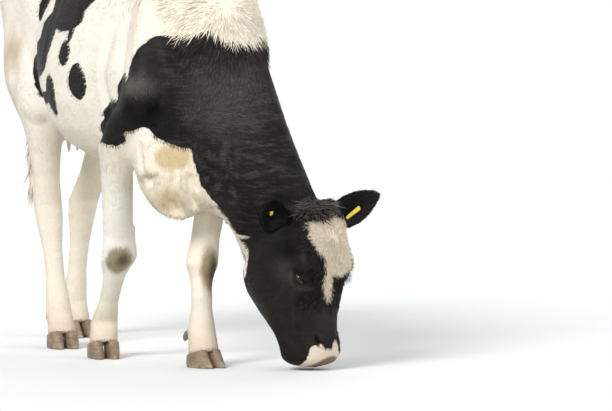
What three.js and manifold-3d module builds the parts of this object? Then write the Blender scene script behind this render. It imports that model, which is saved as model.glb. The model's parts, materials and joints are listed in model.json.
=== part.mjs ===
// A grazing Holstein-Friesian heifer, life-size, as a museum model: a still figure with its head down to the
// left of its track. Millimetres. X runs forward along the back, Y to the animal's left and Z up from the
// floor. The body is modelled whole and then parted by thin cuts where a person would name its parts.
import * as THREE from "three";
import { mergeVertices } from "three/addons/utils/BufferGeometryUtils.js";
import Module from "manifold-3d";

const wasm = await Module();
wasm.setup();

// ---- Driving dimensions ---------------------------------------------------------------------------------

const WITHERS = 1400; // height of the withers above the floor
const HEAD_LENGTH = 544; // poll to the end of the muzzle
const HEAD_YAW = 26; // how far the face turns to the left, degrees
const POLL = [944, 348, 557]; // top of the head
const EAR_LENGTH = 226; // root to tip
const EYE_RADIUS = 21;
const CLAW_LENGTH = 128; // one half of a hoof, heel to toe
const CLAW_WIDTH = 51;
const CORONET = 52; // height of the hair line above the floor at the middle of a hoof
const CORONET_RISE = 0.28; // how much higher it is towards the toe, per length
const TAG_THICKNESS = 3;
const TAG_PIN_RADIUS = 4;
const TAG_PIN_LENGTH = 30; // through the ear, from the plate
const LID_RADIUS = 28.5; // the lids, round the eye
const LID_SINK = 1.5; // how much deeper than the eye they are set
const SLIT_DEPTH = 60; // the slit between the lids, as a wedge from the middle of the eye
const SLIT_UPPER = 30;
const SLIT_LOWER = -22;
const SLIT_LENGTH = 52;
const CUT = 0.6; // width of the cuts that part the body
const FAR = 2500; // longer than the animal, for cutting blocks

const COAT_WHITE = 0xe9e2d6;
const COAT_BLACK = 0x1c1a1b;

// ---- Materials ------------------------------------------------------------------------------------------

const finish = (color, roughness, metalness = 0) =>
  new THREE.MeshStandardMaterial({ color, roughness, metalness });

const whiteCoat = finish(COAT_WHITE, 0.85);
const blackCoat = finish(COAT_BLACK, 0.7);
const hoofHorn = finish(0x8a7658, 0.5);
const eyeGloss = finish(0x1a1210, 0.1);
const tagPlastic = finish(0xf2d21a, 0.45);

// ---- Solids ---------------------------------------------------------------------------------------------

const radians = THREE.MathUtils.degToRad;
const mix = THREE.MathUtils.lerp;
const vector = (p) => new THREE.Vector3(...p);

// A geometry of points and faces only, with each point held once.
function bare(geometry) {
  const copy = geometry.clone();
  copy.deleteAttribute("normal");
  copy.deleteAttribute("uv");
  return mergeVertices(copy, 1e-3);
}

// A closed three.js geometry as a solid that can be cut and joined.
function solid(geometry) {
  const merged = bare(geometry);
  return new wasm.Manifold(
    new wasm.Mesh({
      numProp: 3,
      vertProperties: merged.attributes.position.array,
      triVerts: new Uint32Array(merged.index.array),
    }),
  );
}

// A solid as a three.js geometry.
function geometryOf(body) {
  const mesh = body.getMesh();
  const geometry = new THREE.BufferGeometry();
  geometry.setAttribute("position", new THREE.BufferAttribute(mesh.vertProperties, 3));
  geometry.setIndex(new THREE.BufferAttribute(mesh.triVerts, 1));
  return geometry;
}

const join = (...bodies) => bodies.reduce((all, body) => all.add(body));

// The directions of a section that faces along yaw (left of forward) and pitch (below level), in degrees.
function facing(yaw, pitch) {
  const y = radians(yaw);
  const p = radians(pitch);
  return {
    ahead: new THREE.Vector3(Math.cos(p) * Math.cos(y), Math.cos(p) * Math.sin(y), -Math.sin(p)),
    left: new THREE.Vector3(-Math.sin(y), Math.cos(y), 0),
    up: new THREE.Vector3(Math.sin(p) * Math.cos(y), Math.sin(p) * Math.sin(y), Math.cos(p)),
  };
}

// A section of the body: its centre, and how far the skin lies to either side, above and below it. Powers
// over 2 make that half boxier and under 2 make it more pointed. Lean shifts what is high to the left.
function section(at, side, up, down, more = {}) {
  return { at, side, up, down, yaw: 0, pitch: 0, top: 2, bottom: 2, lean: 0, ...more };
}

// A closed body through its sections, smooth along its length.
function loft(sections, segments, perGap) {
  const rows = sections.map((s) => [...s.at, s.side, s.up, s.down, s.yaw, s.pitch, s.top, s.bottom, s.lean]);
  const size = rows[0].length;
  const stations = [0];
  for (let i = 1; i < sections.length; i += 1) {
    const step = vector(sections[i].at).distanceTo(vector(sections[i - 1].at));
    stations.push(stations[i - 1] + Math.max(step, 1));
  }
  const smooth = new THREE.CubicInterpolant(stations, rows.flat(), size, new Float32Array(size));
  const rings = (sections.length - 1) * perGap;
  const geometry = new THREE.CylinderGeometry(1, 1, 1, segments, rings);
  const position = geometry.attributes.position;
  const point = new THREE.Vector3();
  const power = (value, n) => Math.sign(value) * Math.abs(value) ** (2 / n);
  for (let i = 0; i < position.count; i += 1) {
    const ring = Math.round((0.5 - position.getY(i)) * rings);
    const gap = Math.min(Math.floor(ring / perGap), sections.length - 2);
    const share = ring / perGap - gap;
    const [x, y, z, side, up, down, yaw, pitch, top, bottom, lean] = smooth.evaluate(
      mix(stations[gap], stations[gap + 1], share),
    );
    const way = facing(yaw, pitch);
    const across = position.getX(i);
    const high = position.getZ(i);
    const n = high > 0 ? top : bottom;
    const rise = (high > 0 ? up : down) * power(high, n);
    point
      .set(x, y, z)
      .addScaledVector(way.left, side * power(across, n) + lean * rise)
      .addScaledVector(way.up, rise);
    position.setXYZ(i, point.x, point.y, point.z);
  }
  return outward(geometry);
}

// Turns a geometry's faces round where they point inwards.
function outward(geometry) {
  const index = geometry.index.array;
  if (solid(geometry).volume() < 0) {
    for (let i = 0; i < index.length; i += 3) {
      [index[i + 1], index[i + 2]] = [index[i + 2], index[i + 1]];
    }
  }
  return geometry;
}

// Raises or sinks the surface round a point, fading to nothing at its reach.
function swell(geometry, at, reach, rise, direction) {
  const position = geometry.attributes.position;
  const centre = vector(at);
  const way = vector(direction).normalize();
  const point = new THREE.Vector3();
  for (let i = 0; i < position.count; i += 1) {
    point.fromBufferAttribute(position, i);
    const near = point.distanceTo(centre) / reach;
    if (near < 1) {
      point.addScaledVector(way, rise * (1 - near * near) ** 2);
      position.setXYZ(i, point.x, point.y, point.z);
    }
  }
}

// A block with a polygon outline in the X-Z plane, from one Y to another.
function slab(outline, fromY, toY) {
  const shape = new THREE.Shape(outline.map(([x, z]) => new THREE.Vector2(x, z)));
  const geometry = new THREE.ExtrudeGeometry(shape, { depth: toY - fromY, bevelEnabled: false });
  geometry.rotateX(Math.PI / 2);
  geometry.translate(0, toY, 0);
  return solid(outward(bare(geometry)));
}

// The same, with its outline in the Y-Z plane, from one X to another.
function wall(outline, fromX, toX) {
  const shape = new THREE.Shape(outline.map(([y, z]) => new THREE.Vector2(y, z)));
  const geometry = new THREE.ExtrudeGeometry(shape, { depth: toX - fromX, bevelEnabled: false });
  geometry.rotateX(Math.PI / 2);
  geometry.rotateZ(Math.PI / 2);
  geometry.translate(fromX, 0, 0);
  return solid(outward(bare(geometry)));
}

// ---- Trunk ----------------------------------------------------------------------------------------------

// One section of the trunk: its place along the back, the heights of back, widest point and belly.
const trunkSection = (x, y, back, widest, belly, side, top, bottom, lean = 0) =>
  section([x, y, widest], side, back - widest, widest - belly, { top, bottom, lean });

function trunkBody() {
  const body = loft(
    [
      trunkSection(-842, 10, 1290, 1215, 1110, 92, 2, 2), // buttocks
      trunkSection(-815, 10, 1330, 1205, 1005, 140, 2, 2), // pin bones
      trunkSection(-735, 10, 1385, 1195, 900, 185, 2, 2), // tail head
      trunkSection(-600, 10, 1408, 1185, 820, 218, 2, 2), // thurls
      trunkSection(-440, 10, 1415, 1200, 765, 225, 2, 2), // hip bones
      trunkSection(-300, 8, 1396, 1110, 705, 226, 1.9, 2.1), // flank
      trunkSection(-120, 5, 1384, 1020, 664, 258, 1.8, 2.2), // last ribs
      trunkSection(80, 5, 1380, 1000, 646, 266, 1.8, 2.2), // middle ribs
      trunkSection(260, 10, 1386, 985, 638, 240, 1.8, 2.1, 0.04), // heart girth
      trunkSection(420, 18, WITHERS, 970, 622, 222, 1.8, 2, 0.12), // withers
      trunkSection(540, 28, 1380, 940, 545, 206, 2.2, 2.1, 0.24), // front of the shoulder blades
      trunkSection(630, 22, 1280, 890, 498, 170, 2.2, 2.2, 0.26), // breast
      trunkSection(692, 32, 1100, 810, 530, 114, 2, 2, 0.15), // point of the brisket
      trunkSection(712, 44, 960, 770, 610, 50, 2, 2, 0.14),
    ],
    20,
    2,
  );
  for (const s of [-1, 1]) {
    swell(body, [-425, 10 + s * 215, 1335], 150, 32, [0, s, 0.5]); // hip bone
    swell(body, [-815, 10 + s * 120, 1255], 130, 16, [-0.4, s, 0]); // pin bone
    swell(body, [-250, s * 190, 1240], 230, -22, [0, s, 0.5]); // hollow of the flank
    swell(body, [-60, s * 250, 860], 300, 20, [0, s, -0.4]); // barrel
    swell(body, [330, s * 190, 850], 130, -16, [0, s, 0]); // behind the elbow
  }
  return solid(body);
}

// ---- Neck and head --------------------------------------------------------------------------------------

const head = facing(HEAD_YAW, 90);

// A point of the head: so far down the face from the poll, back from the forehead and to the left.
function onHead(down, back, left) {
  return vector(POLL)
    .addScaledVector(head.ahead, down)
    .addScaledVector(head.up, -back)
    .addScaledVector(head.left, left);
}

// One section of the head: its distance down the face, the depths of the face line, widest point and jaw.
const headSection = (down, face, widest, jaw, side, top, bottom) =>
  section(onHead(down, widest, 0).toArray(), side, widest - face, jaw - widest, {
    yaw: HEAD_YAW,
    pitch: 90,
    top,
    bottom,
  });

function headBody() {
  const body = loft(
    [
      headSection(-14, 34, 60, 96, 36, 2, 2), // top of the poll
      headSection(2, 6, 56, 150, 72, 2.4, 2),
      headSection(42, -8, 52, 215, 92, 2.8, 2.2), // ears
      headSection(108, -12, 48, 276, 104, 3, 2.6), // forehead
      headSection(178, -14, 48, 318, 117, 3.2, 3), // brow
      headSection(238, -10, 54, 337, 117, 2.8, 3.1), // eyes and angle of the jaw
      headSection(305, -4, 66, 325, 103, 2.3, 3), // cheek
      headSection(374, -6, 72, 279, 89, 2.1, 2.6), // bridge of the nose
      headSection(436, -7, 72, 222, 84, 2.2, 2.4),
      headSection(484, -7, 70, 190, 86, 2.6, 2.5), // nostrils
      headSection(518, 2, 74, 174, 86, 2.8, 2.6), // lips
      headSection(536, 24, 80, 150, 75, 2.6, 2.4),
      headSection(HEAD_LENGTH, 44, 84, 126, 48, 2.2, 2.2),
    ],
    22,
    2,
  );
  for (const s of [-1, 1]) {
    const out = head.left.clone().multiplyScalar(s);
    const ahead = head.up.clone();
    swell(body, onHead(202, 30, s * 108).toArray(), 70, 22, out.clone().add(ahead).toArray()); // brow
    swell(body, onHead(120, 100, s * 104).toArray(), 80, -16, out.toArray()); // temple
    swell(body, onHead(484, 34, s * 66).toArray(), 46, 7, out.clone().add(ahead).toArray()); // nostril wing
  }
  return solid(body);
}

function neckBody() {
  const nape = onHead(6, 44, 0);
  const throat = onHead(228, 350, 0);
  const crestLine = [
    [330, 20, 1330],
    [500, 92, 1392],
    [644, 150, 1300],
    [738, 174, 1084],
    [828, 234, 838],
    [888, 286, 650],
    nape.toArray(),
  ];
  const throatLine = [
    [470, -20, 580],
    [560, -14, 545],
    [640, 10, 512],
    [694, 56, 496],
    [690, 98, 460],
    [676, 142, 398],
    throat.toArray(),
  ];
  const widths = [150, 204, 192, 140, 110, 98, 86];
  const body = loft(
    crestLine.map((crest, i) => {
      const above = vector(crest);
      const below = vector(throatLine[i]);
      const across = above.clone().sub(below);
      const level = Math.hypot(across.x, across.y);
      const half = across.length() / 2;
      return section(above.add(below).multiplyScalar(0.5).toArray(), widths[i], half, half, {
        yaw: [0, 8, 16, 23, 26, 27, 26][i],
        pitch: THREE.MathUtils.radToDeg(Math.atan2(Math.sign(across.x) * level, across.z)),
        top: 2.2,
        bottom: 1.7,
      });
    }),
    20,
    2,
  );
  return solid(body);
}

// ---- Legs -----------------------------------------------------------------------------------------------

// A section of a leg: a level one, at a share of the way from one joint to the next, with the skin's
// distance to either side, in front and behind.
function legSection(from, to, share, side, front, back, yaw) {
  const at = from.map((value, i) => mix(value, to[i], share));
  return section(at, side, front, back, { yaw, pitch: 90, top: 2.1, bottom: 2.1 });
}

// Skin round a foreleg: between two joints, at a share of the way, to the side, in front and behind.
const FORELEG_ROWS = [
  ["blade", "shoulder", 0.1, 42, 66, 80],
  ["blade", "shoulder", 0.4, 66, 96, 112], // shoulder blade
  ["blade", "shoulder", 0.75, 76, 88, 130],
  ["shoulder", "elbow", 0.05, 74, 46, 150], // point of the shoulder
  ["shoulder", "elbow", 0.6, 72, 84, 114], // upper arm
  ["shoulder", "elbow", 1, 64, 84, 86], // elbow
  ["elbow", "knee", 0.25, 57, 64, 62],
  ["elbow", "knee", 0.45, 54, 55, 54], // forearm
  ["elbow", "knee", 0.82, 51, 45, 46],
  ["elbow", "knee", 0.93, 56, 50, 46],
  ["knee", "fetlock", 0.04, 59, 52, 46], // knee
  ["knee", "fetlock", 0.26, 40, 38, 40],
  ["knee", "fetlock", 0.44, 35, 33, 36], // cannon
  ["knee", "fetlock", 0.68, 34, 32, 37],
  ["knee", "fetlock", 1, 47, 42, 50], // fetlock
  ["fetlock", "foot", 0.6, 49, 47, 44], // pastern
  ["fetlock", "foot", 0.85, 53, 54, 48],
  ["fetlock", "foot", 1, 53, 58, 48],
];

const HINDLEG_ROWS = [
  ["hip", "stifle", -0.15, 70, 130, 130],
  ["hip", "stifle", 0.15, 92, 170, 200], // rump
  ["hip", "stifle", 0.5, 98, 168, 236], // thigh
  ["hip", "stifle", 0.8, 94, 118, 236],
  ["stifle", "hock", 0.02, 84, 78, 200], // stifle
  ["stifle", "hock", 0.32, 64, 64, 116], // gaskin
  ["stifle", "hock", 0.5, 54, 54, 88],
  ["stifle", "hock", 0.7, 46, 46, 74],
  ["stifle", "hock", 0.97, 50, 47, 74], // hock
  ["hock", "fetlock", 0.1, 48, 45, 62],
  ["hock", "fetlock", 0.4, 35, 34, 38], // cannon
  ["hock", "fetlock", 0.65, 33, 32, 37],
  ["hock", "fetlock", 1, 46, 42, 49], // fetlock
  ["fetlock", "foot", 0.6, 48, 47, 44], // pastern
  ["fetlock", "foot", 0.85, 52, 54, 48],
  ["fetlock", "foot", 1, 52, 58, 48],
];

function legBody({ rows, joints, toeOut }) {
  const sections = rows.map(([from, to, share, side, front, back], i) =>
    legSection(joints[from], joints[to], share, side, front, back, i < 5 ? 0 : toeOut),
  );
  return solid(loft(sections, 13, 1));
}

// Where the joints of each leg are. The left fore and right hind are a step ahead.
const LEGS = {
  foreleg_left: {
    rows: FORELEG_ROWS,
    toeOut: 14,
    block: {
      side: 1,
      middle: 500,
      face: [
        [46, 560],
        [10, 470],
        [-60, 440],
        [-60, -50],
        [150, -50],
        [150, 420],
        [600, 520],
        [600, 760],
        [246, 760],
      ],
      profile: [
        [400, -50],
        [400, 560],
        [430, 640],
        [410, 720],
        [410, 840],
        [602, 840],
        [602, 560],
        [632, 400],
        [780, 240],
        [780, -50],
      ],
    },
    joints: {
      blade: [490, 158, 1310],
      shoulder: [656, 196, 905],
      elbow: [500, 150, 748],
      knee: [566, 48, 352],
      fetlock: [602, 32, 122],
      foot: [640, 26, 30],
    },
  },
  foreleg_right: {
    rows: FORELEG_ROWS,
    toeOut: -10,
    block: {
      side: -1,
      middle: 400,
      face: [[100, 640], [60, 600], [60, -50], [600, -50], [600, 830], [290, 830]],
      profile: [
        [0, -50],
        [0, 600],
        [315, 600],
        [342, 700],
        [342, 840],
        [552, 840],
        [552, 600],
        [430, 420],
        [430, -50],
      ],
    },
    joints: {
      blade: [446, -78, 1305],
      shoulder: [618, -172, 890],
      elbow: [436, -206, 740],
      knee: [280, -137, 350],
      fetlock: [134, -130, 122],
      foot: [152, -140, 30],
    },
  },
  hindleg_left: {
    rows: HINDLEG_ROWS,
    toeOut: 8,
    block: {
      side: 1,
      middle: -570,
      face: [[72, 1000], [72, 640], [55, 600], [55, -50], [600, -50], [600, 1000]],
      profile: [
        [-900, -50],
        [-560, -50],
        [-560, 400],
        [-345, 640],
        [-345, 790],
        [-900, 940],
      ],
    },
    joints: {
      hip: [-560, 128, 1170],
      stifle: [-440, 172, 848],
      hock: [-730, 140, 478],
      fetlock: [-775, 122, 124],
      foot: [-740, 120, 30],
    },
  },
  hindleg_right: {
    rows: HINDLEG_ROWS,
    toeOut: -8,
    block: {
      side: -1,
      middle: -570,
      face: [[52, 1000], [52, 640], [38, 600], [38, -50], [600, -50], [600, 1000]],
      profile: [
        [-900, -50],
        [-150, -50],
        [-150, 500],
        [-285, 640],
        [-285, 775],
        [-900, 940],
      ],
    },
    joints: {
      hip: [-550, -108, 1170],
      stifle: [-380, -150, 848],
      hock: [-430, -112, 480],
      fetlock: [-345, -106, 124],
      foot: [-300, -110, 30],
    },
  },
};

// ---- Feet -----------------------------------------------------------------------------------------------

// A point of a foot: so far forward and to the left of the middle of the hoof, at a height.
function onFoot({ joints, toeOut }, forward, left, height) {
  const way = facing(toeOut, 0);
  return new THREE.Vector3(joints.foot[0], joints.foot[1], height)
    .addScaledVector(way.ahead, forward)
    .addScaledVector(way.left, left);
}

// One of the two claws of a hoof, from above the hair line down to its flat sole.
function clawBody(leg, side) {
  const toe = CLAW_LENGTH * 0.64;
  const heel = CLAW_LENGTH - toe;
  const rows = [
    [90, 22.5, 16, 41],
    [56, 24.5, 43, 44],
    [26, 25.5, 65, heel],
    [6, 25.5, toe, heel],
    [0, 23, toe - 3, heel - 3],
  ];
  const sections = rows.map(([height, half, front, back]) => {
    const at = onFoot(leg, 0, side * (CLAW_WIDTH / 2 + 3), height).toArray();
    return section(at, half, front, back, { yaw: leg.toeOut - side * 2, pitch: 90, top: 1.9, bottom: 2.6 });
  });
  return solid(loft(sections, 10, 1));
}

// A dewclaw behind the fetlock; grow makes its seat.
function dewclawBody({ joints, toeOut }, side, grow) {
  const way = facing(toeOut, 0);
  const rows = [
    [-4 + grow, -30, 13],
    [-14, -46, 13],
    [-28, -58, 11],
    [-38, -64, 5],
  ];
  const sections = rows.map(([rise, forward, r]) => {
    const at = vector(joints.fetlock)
      .addScaledVector(way.ahead, forward)
      .addScaledVector(way.left, side * 23)
      .add(new THREE.Vector3(0, 0, rise));
    return section(at.toArray(), r + grow, r + grow, r + grow, { yaw: toeOut + 180, pitch: 50 });
  });
  return solid(loft(sections, 6, 1));
}

// ---- Ears, eyes and tags --------------------------------------------------------------------------------

// A body made along X with its front towards Z, set at a point with those two directions turned.
function place(geometry, at, along, front) {
  const x = along.clone().normalize();
  const y = front.clone().cross(x).normalize();
  const z = x.clone().cross(y);
  return outward(geometry.applyMatrix4(new THREE.Matrix4().makeBasis(x, y, z).setPosition(at)));
}

// How far below the poll an ear grows, how it points: outwards, forward and up, and how far its middle sags.
// The left one is raised, the right one turned forward.
const EARS = {
  left: { side: 1, low: 62, out: 0.9, ahead: 0.32, rise: 0.34, sag: 10 },
  right: { side: -1, low: 48, out: 0.9, ahead: 0.27, rise: 0.12, sag: 3 },
};

// Where an ear grows, and its directions: along it, and out of its opening.
function earWay({ side, low, out, ahead, rise }) {
  const outwards = head.left.clone().multiplyScalar(side);
  const upwards = head.ahead.clone().negate();
  return {
    root: onHead(low, 104, side * 100),
    along: outwards
      .clone()
      .multiplyScalar(out)
      .addScaledVector(head.up, ahead)
      .addScaledVector(upwards, rise),
    front: head.up.clone().addScaledVector(upwards, -0.15),
  };
}

// Sections of an ear: place along it and in front of it, half width, and depth to the front and the back. Its
// middle sags most halfway along.
const earRow = ({ side, sag }, grow) => ([x, z, half, up, down]) => {
  const low = -side * sag * Math.sin(Math.PI * Math.min(Math.max(x / EAR_LENGTH, 0), 1));
  return section([x, low, z], half + grow, up + grow, down + grow);
};

function earShell(ear, grow) {
  const rows = [
    [-20 - grow, 0, 24, 22, 24],
    [10, 0, 27, 24, 26],
    [42, 0, 43, 20, 30],
    [86, 0, 61, 10, 30],
    [128, 0, 63, 6, 26],
    [170, 0, 50, 5, 20],
    [206, 0, 29, 4, 12],
    [EAR_LENGTH, 0, 9, 3, 4],
  ];
  return loft(rows.map(earRow(ear, grow)), 10, 1);
}

function earCup(ear) {
  const rows = [
    [30, 16, 14, 30, 14],
    [60, 12, 36, 34, 26],
    [90, 10, 54, 34, 30],
    [128, 8, 56, 34, 25],
    [166, 6, 43, 30, 18],
    [198, 4, 18, 20, 7],
  ];
  return loft(rows.map(earRow(ear, 0)), 10, 1);
}

const inEar = (geometry, ear) => {
  const way = earWay(ear);
  return solid(place(geometry, way.root, way.along, way.front));
};

// Ear tags: place along and across the ear and in front of it, length, width and turn.
const TAGS = {
  left: [119, -27, -10, 62, 17, 0.28],
  right: [98, -6, -12, 20, 15, 0.4],
};

// A plate on the front of the ear and the pin that holds it through the ear.
function tagBody(ear, size, grow) {
  const [x, y, z, length, width, turn] = size;
  const plate = new THREE.BoxGeometry(length + 2 * grow, width + 2 * grow, TAG_THICKNESS + 2 * grow);
  plate.rotateZ(turn);
  plate.translate(x, y, z);
  const radius = TAG_PIN_RADIUS + grow;
  const pin = new THREE.CylinderGeometry(radius, radius, TAG_PIN_LENGTH + 2 * grow, 8);
  pin.rotateX(Math.PI / 2);
  pin.translate(x, y, z - TAG_PIN_LENGTH / 2);
  return join(inEar(plate, ear), inEar(pin, ear));
}

function ball(at, radius) {
  const geometry = new THREE.SphereGeometry(radius, 10, 6);
  geometry.translate(at.x, at.y, at.z);
  return solid(outward(geometry));
}

const eyeAt = (side) => onHead(238, 40, side * 104);

// The slit between the lids, widening outwards.
function lidSlit(side) {
  const shape = new THREE.Shape();
  shape.moveTo(0, 0);
  shape.lineTo(SLIT_DEPTH, SLIT_UPPER);
  shape.lineTo(SLIT_DEPTH, SLIT_LOWER);
  const geometry = new THREE.ExtrudeGeometry(shape, { depth: SLIT_LENGTH, bevelEnabled: false });
  geometry.translate(0, 0, -SLIT_LENGTH / 2);
  const out = head.left.clone().multiplyScalar(side).addScaledVector(head.up, 0.22);
  return solid(place(bare(geometry), eyeAt(side), out, head.up));
}

// ---- Tail and udder -------------------------------------------------------------------------------------

function tailBody() {
  const rows = [
    [-740, 1336, 0, 44],
    [-804, 1322, 24, 40],
    [-860, 1284, 54, 34],
    [-892, 1222, 78, 28],
    [-898, 1130, 89, 24],
    [-896, 980, 92, 20],
    [-892, 890, 92, 21],
    [-889, 820, 90, 34],
    [-886, 740, 90, 42],
    [-884, 665, 90, 33],
    [-883, 610, 90, 16],
    [-883, 582, 90, 5],
  ];
  const sections = rows.map(([x, z, pitch, r]) => section([x, 10, z], r, r, r, { yaw: 180, pitch }));
  return solid(loft(sections, 10, 1));
}

function udderBody() {
  const bag = new THREE.SphereGeometry(1, 14, 8);
  bag.scale(112, 56, 66);
  bag.translate(-505, 10, 772);
  const teats = [-545, -462].flatMap((x) =>
    [-32, 32].map((y) => {
      const rows = [
        [x, y + 10, 740, 13],
        [x + 2, y + 10, 706, 11],
        [x + 3, y + 10, 684, 9],
        [x + 3, y + 10, 676, 4],
      ];
      return solid(loft(rows.map(([u, v, w, r]) => section([u, v, w], r, r, r, { pitch: 90 })), 6, 1));
    }),
  );
  return join(solid(outward(bag)), ...teats);
}

// ---- Cuts -----------------------------------------------------------------------------------------------

// All that lies ahead of a point, and no lower than a depth below it towards the front direction.
function block(at, along, front, low, grow) {
  const geometry = new THREE.BoxGeometry(FAR + grow, 2 * FAR, FAR + low + grow);
  geometry.translate((FAR - grow) / 2, 0, (FAR - low - grow) / 2);
  return solid(place(bare(geometry), at, along, front));
}

// What a body has inside a region and what is left of it, a cut's width apart.
const part = (body, region) => [body.intersect(region(0)), body.subtract(region(CUT))];

const UPWARDS = new THREE.Vector3(0, 0, 1);

const tailBlock = (grow) =>
  block(new THREE.Vector3(-887, 0, 1234), new THREE.Vector3(-0.3, 0, -0.95), UPWARDS, FAR, grow);
const neckBlock = (grow) =>
  block(new THREE.Vector3(650, 0, 300), new THREE.Vector3(0.96, 0.2, -0.146), UPWARDS, 0, grow);
const headBlock = (grow) =>
  block(
    onHead(-10, 100, 0),
    head.ahead.clone().multiplyScalar(0.725).addScaledVector(head.up, 0.689),
    head.left,
    FAR,
    grow,
  );

// What lies below the hair line of a foot.
function hornBlock(leg, grow) {
  const way = facing(leg.toeOut, 0);
  const down = way.ahead.clone().multiplyScalar(CORONET_RISE).sub(UPWARDS);
  return block(onFoot(leg, 0, 0, CORONET), down, way.left, FAR, grow);
}

// Moves the corners of an outline away from a middle by a little, in both directions.
const spread = (outline, [u, v], grow) =>
  outline.map(([a, b]) => [a + Math.sign(a - u) * grow, b + Math.sign(b - v) * grow]);

// The space of a leg: within one outline seen from the side and another seen from the front.
function legBlock({ block }, grow) {
  const { side, profile, face, middle } = block;
  const outline = face.map(([y, z]) => [side * y, z]);
  const across = wall(spread(outline, [side * 400, 0], grow), -FAR / 2, FAR / 2);
  return across.intersect(slab(spread(profile, [middle, 0], grow), -FAR / 2, FAR / 2));
}

// ---- Assembly -------------------------------------------------------------------------------------------

const parts = new THREE.Group();

function addPart(name, body, material) {
  const mesh = new THREE.Mesh(geometryOf(body), material);
  mesh.name = name;
  parts.add(mesh);
}

const SIDES = [
  ["left", 1],
  ["right", -1],
];

const [tail, tailStub] = part(tailBody(), tailBlock);
const carcass = join(trunkBody(), neckBody(), udderBody(), tailStub, ...Object.values(LEGS).map(legBody));
const [neckFront, rear] = part(carcass, neckBlock);
let [skull, neck] = part(join(neckFront, headBody()), headBlock);
let trunk = rear;

for (const [name, leg] of Object.entries(LEGS)) {
  let [limb, rest] = part(trunk, (grow) => legBlock(leg, grow));
  trunk = rest;
  limb = limb.subtract(hornBlock(leg, CUT));
  for (const [which, side] of SIDES) {
    limb = limb.subtract(dewclawBody(leg, side, CUT));
    addPart(`claw_${which}_${name}`, clawBody(leg, side).intersect(hornBlock(leg, 0)), hoofHorn);
    addPart(`dewclaw_${which}_${name}`, dewclawBody(leg, side, 0), hoofHorn);
  }
  addPart(name, limb, whiteCoat);
}

for (const [which, way] of Object.entries(EARS)) {
  const { side } = way;
  const seat = inEar(earShell(way, CUT), way);
  const ear = inEar(earShell(way, 0), way).subtract(inEar(earCup(way), way));
  skull = skull.subtract(seat);
  neck = neck.subtract(seat);
  addPart(`ear_${which}`, ear.subtract(tagBody(way, TAGS[which], CUT)), blackCoat);
  addPart(`ear_tag_${which}`, tagBody(way, TAGS[which], 0), tagPlastic);
  skull = skull.add(ball(eyeAt(side).addScaledVector(head.left, -LID_SINK * side), LID_RADIUS));
  skull = skull.subtract(lidSlit(side)).subtract(ball(eyeAt(side), EYE_RADIUS + CUT));
  addPart(`eye_${which}`, ball(eyeAt(side), EYE_RADIUS), eyeGloss);
}

addPart("trunk", trunk, whiteCoat);
addPart("neck", neck, blackCoat);
addPart("head", skull, blackCoat);
addPart("tail", tail, whiteCoat);

// The origin is on the floor under the middle of the whole.
const bounds = new THREE.Box3().setFromObject(parts);
const middle = bounds.getCenter(new THREE.Vector3());
for (const mesh of parts.children) mesh.geometry.translate(-middle.x, -middle.y, 0);

export default parts;
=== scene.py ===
"""A grazing Holstein-Friesian heifer as a life-size museum model: skin, coat, eyes, claws and ear tags.

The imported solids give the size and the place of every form. One skin is grown over them and worked like
clay, and the coat is laid over the skin in tufts. Lengths are in metres, +X forward along the back, +Y to the
animal's left, +Z up.
"""
import json
import logging
import math
from dataclasses import dataclass, field
from functools import partial
from typing import Callable, Iterable, Optional

import bmesh
import bpy
import numpy as np
from mathutils import Matrix, Vector

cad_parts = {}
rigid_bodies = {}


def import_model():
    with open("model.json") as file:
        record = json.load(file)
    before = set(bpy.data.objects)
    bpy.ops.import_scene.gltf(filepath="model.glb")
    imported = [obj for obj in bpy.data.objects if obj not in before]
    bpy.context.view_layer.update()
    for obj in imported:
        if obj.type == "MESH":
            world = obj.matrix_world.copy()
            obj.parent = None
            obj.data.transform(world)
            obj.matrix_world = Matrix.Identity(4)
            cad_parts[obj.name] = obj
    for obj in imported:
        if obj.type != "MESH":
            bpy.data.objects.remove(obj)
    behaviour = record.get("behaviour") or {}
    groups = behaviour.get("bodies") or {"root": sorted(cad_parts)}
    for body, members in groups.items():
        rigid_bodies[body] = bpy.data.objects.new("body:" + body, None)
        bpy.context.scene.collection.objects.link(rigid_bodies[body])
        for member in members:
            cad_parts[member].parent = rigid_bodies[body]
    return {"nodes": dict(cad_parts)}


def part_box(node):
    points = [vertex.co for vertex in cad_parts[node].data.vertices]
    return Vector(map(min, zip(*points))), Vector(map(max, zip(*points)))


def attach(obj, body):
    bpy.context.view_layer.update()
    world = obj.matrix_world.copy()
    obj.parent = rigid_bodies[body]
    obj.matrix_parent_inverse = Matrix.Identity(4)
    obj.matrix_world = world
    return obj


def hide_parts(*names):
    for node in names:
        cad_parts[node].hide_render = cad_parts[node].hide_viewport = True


for leftover in list(bpy.data.objects):
    bpy.data.objects.remove(leftover)
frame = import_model()
log = logging.getLogger("heifer")

Point = tuple[float, float, float]
Line = tuple[Point, ...]
Array = np.ndarray
Where = Callable[[Array], Array]
Mesh = bpy.types.Mesh
BMesh = bmesh.types.BMesh
Object = bpy.types.Object
Material = bpy.types.Material
Node = bpy.types.Node
Socket = bpy.types.NodeSocket

SIDES = (("left", 1.0), ("right", -1.0))
FORELEGS = ("foreleg_left", "foreleg_right")
HINDLEGS = ("hindleg_left", "hindleg_right")
LEGS = FORELEGS + HINDLEGS
FLESH = ("trunk", "neck", "head", "ear_left", "ear_right", *LEGS, "tail")
MIDDLE = 0.01  # how far to the left of the body's own zero the spine runs
FLAT = 1e-6


# ---- Small mathematics ----


def smoothstep(value: Array, low: float, high: float) -> Array:
    """Rises smoothly from 0 at low to 1 at high; falls where low is over high.

    Args:
        value: the numbers to map.
        low: where the result is 0.
        high: where the result is 1.

    Returns:
        The mapped numbers, from 0 to 1.
    """
    share = np.clip((value - low) / (high - low), 0.0, 1.0)
    return share * share * (3.0 - 2.0 * share)


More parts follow.
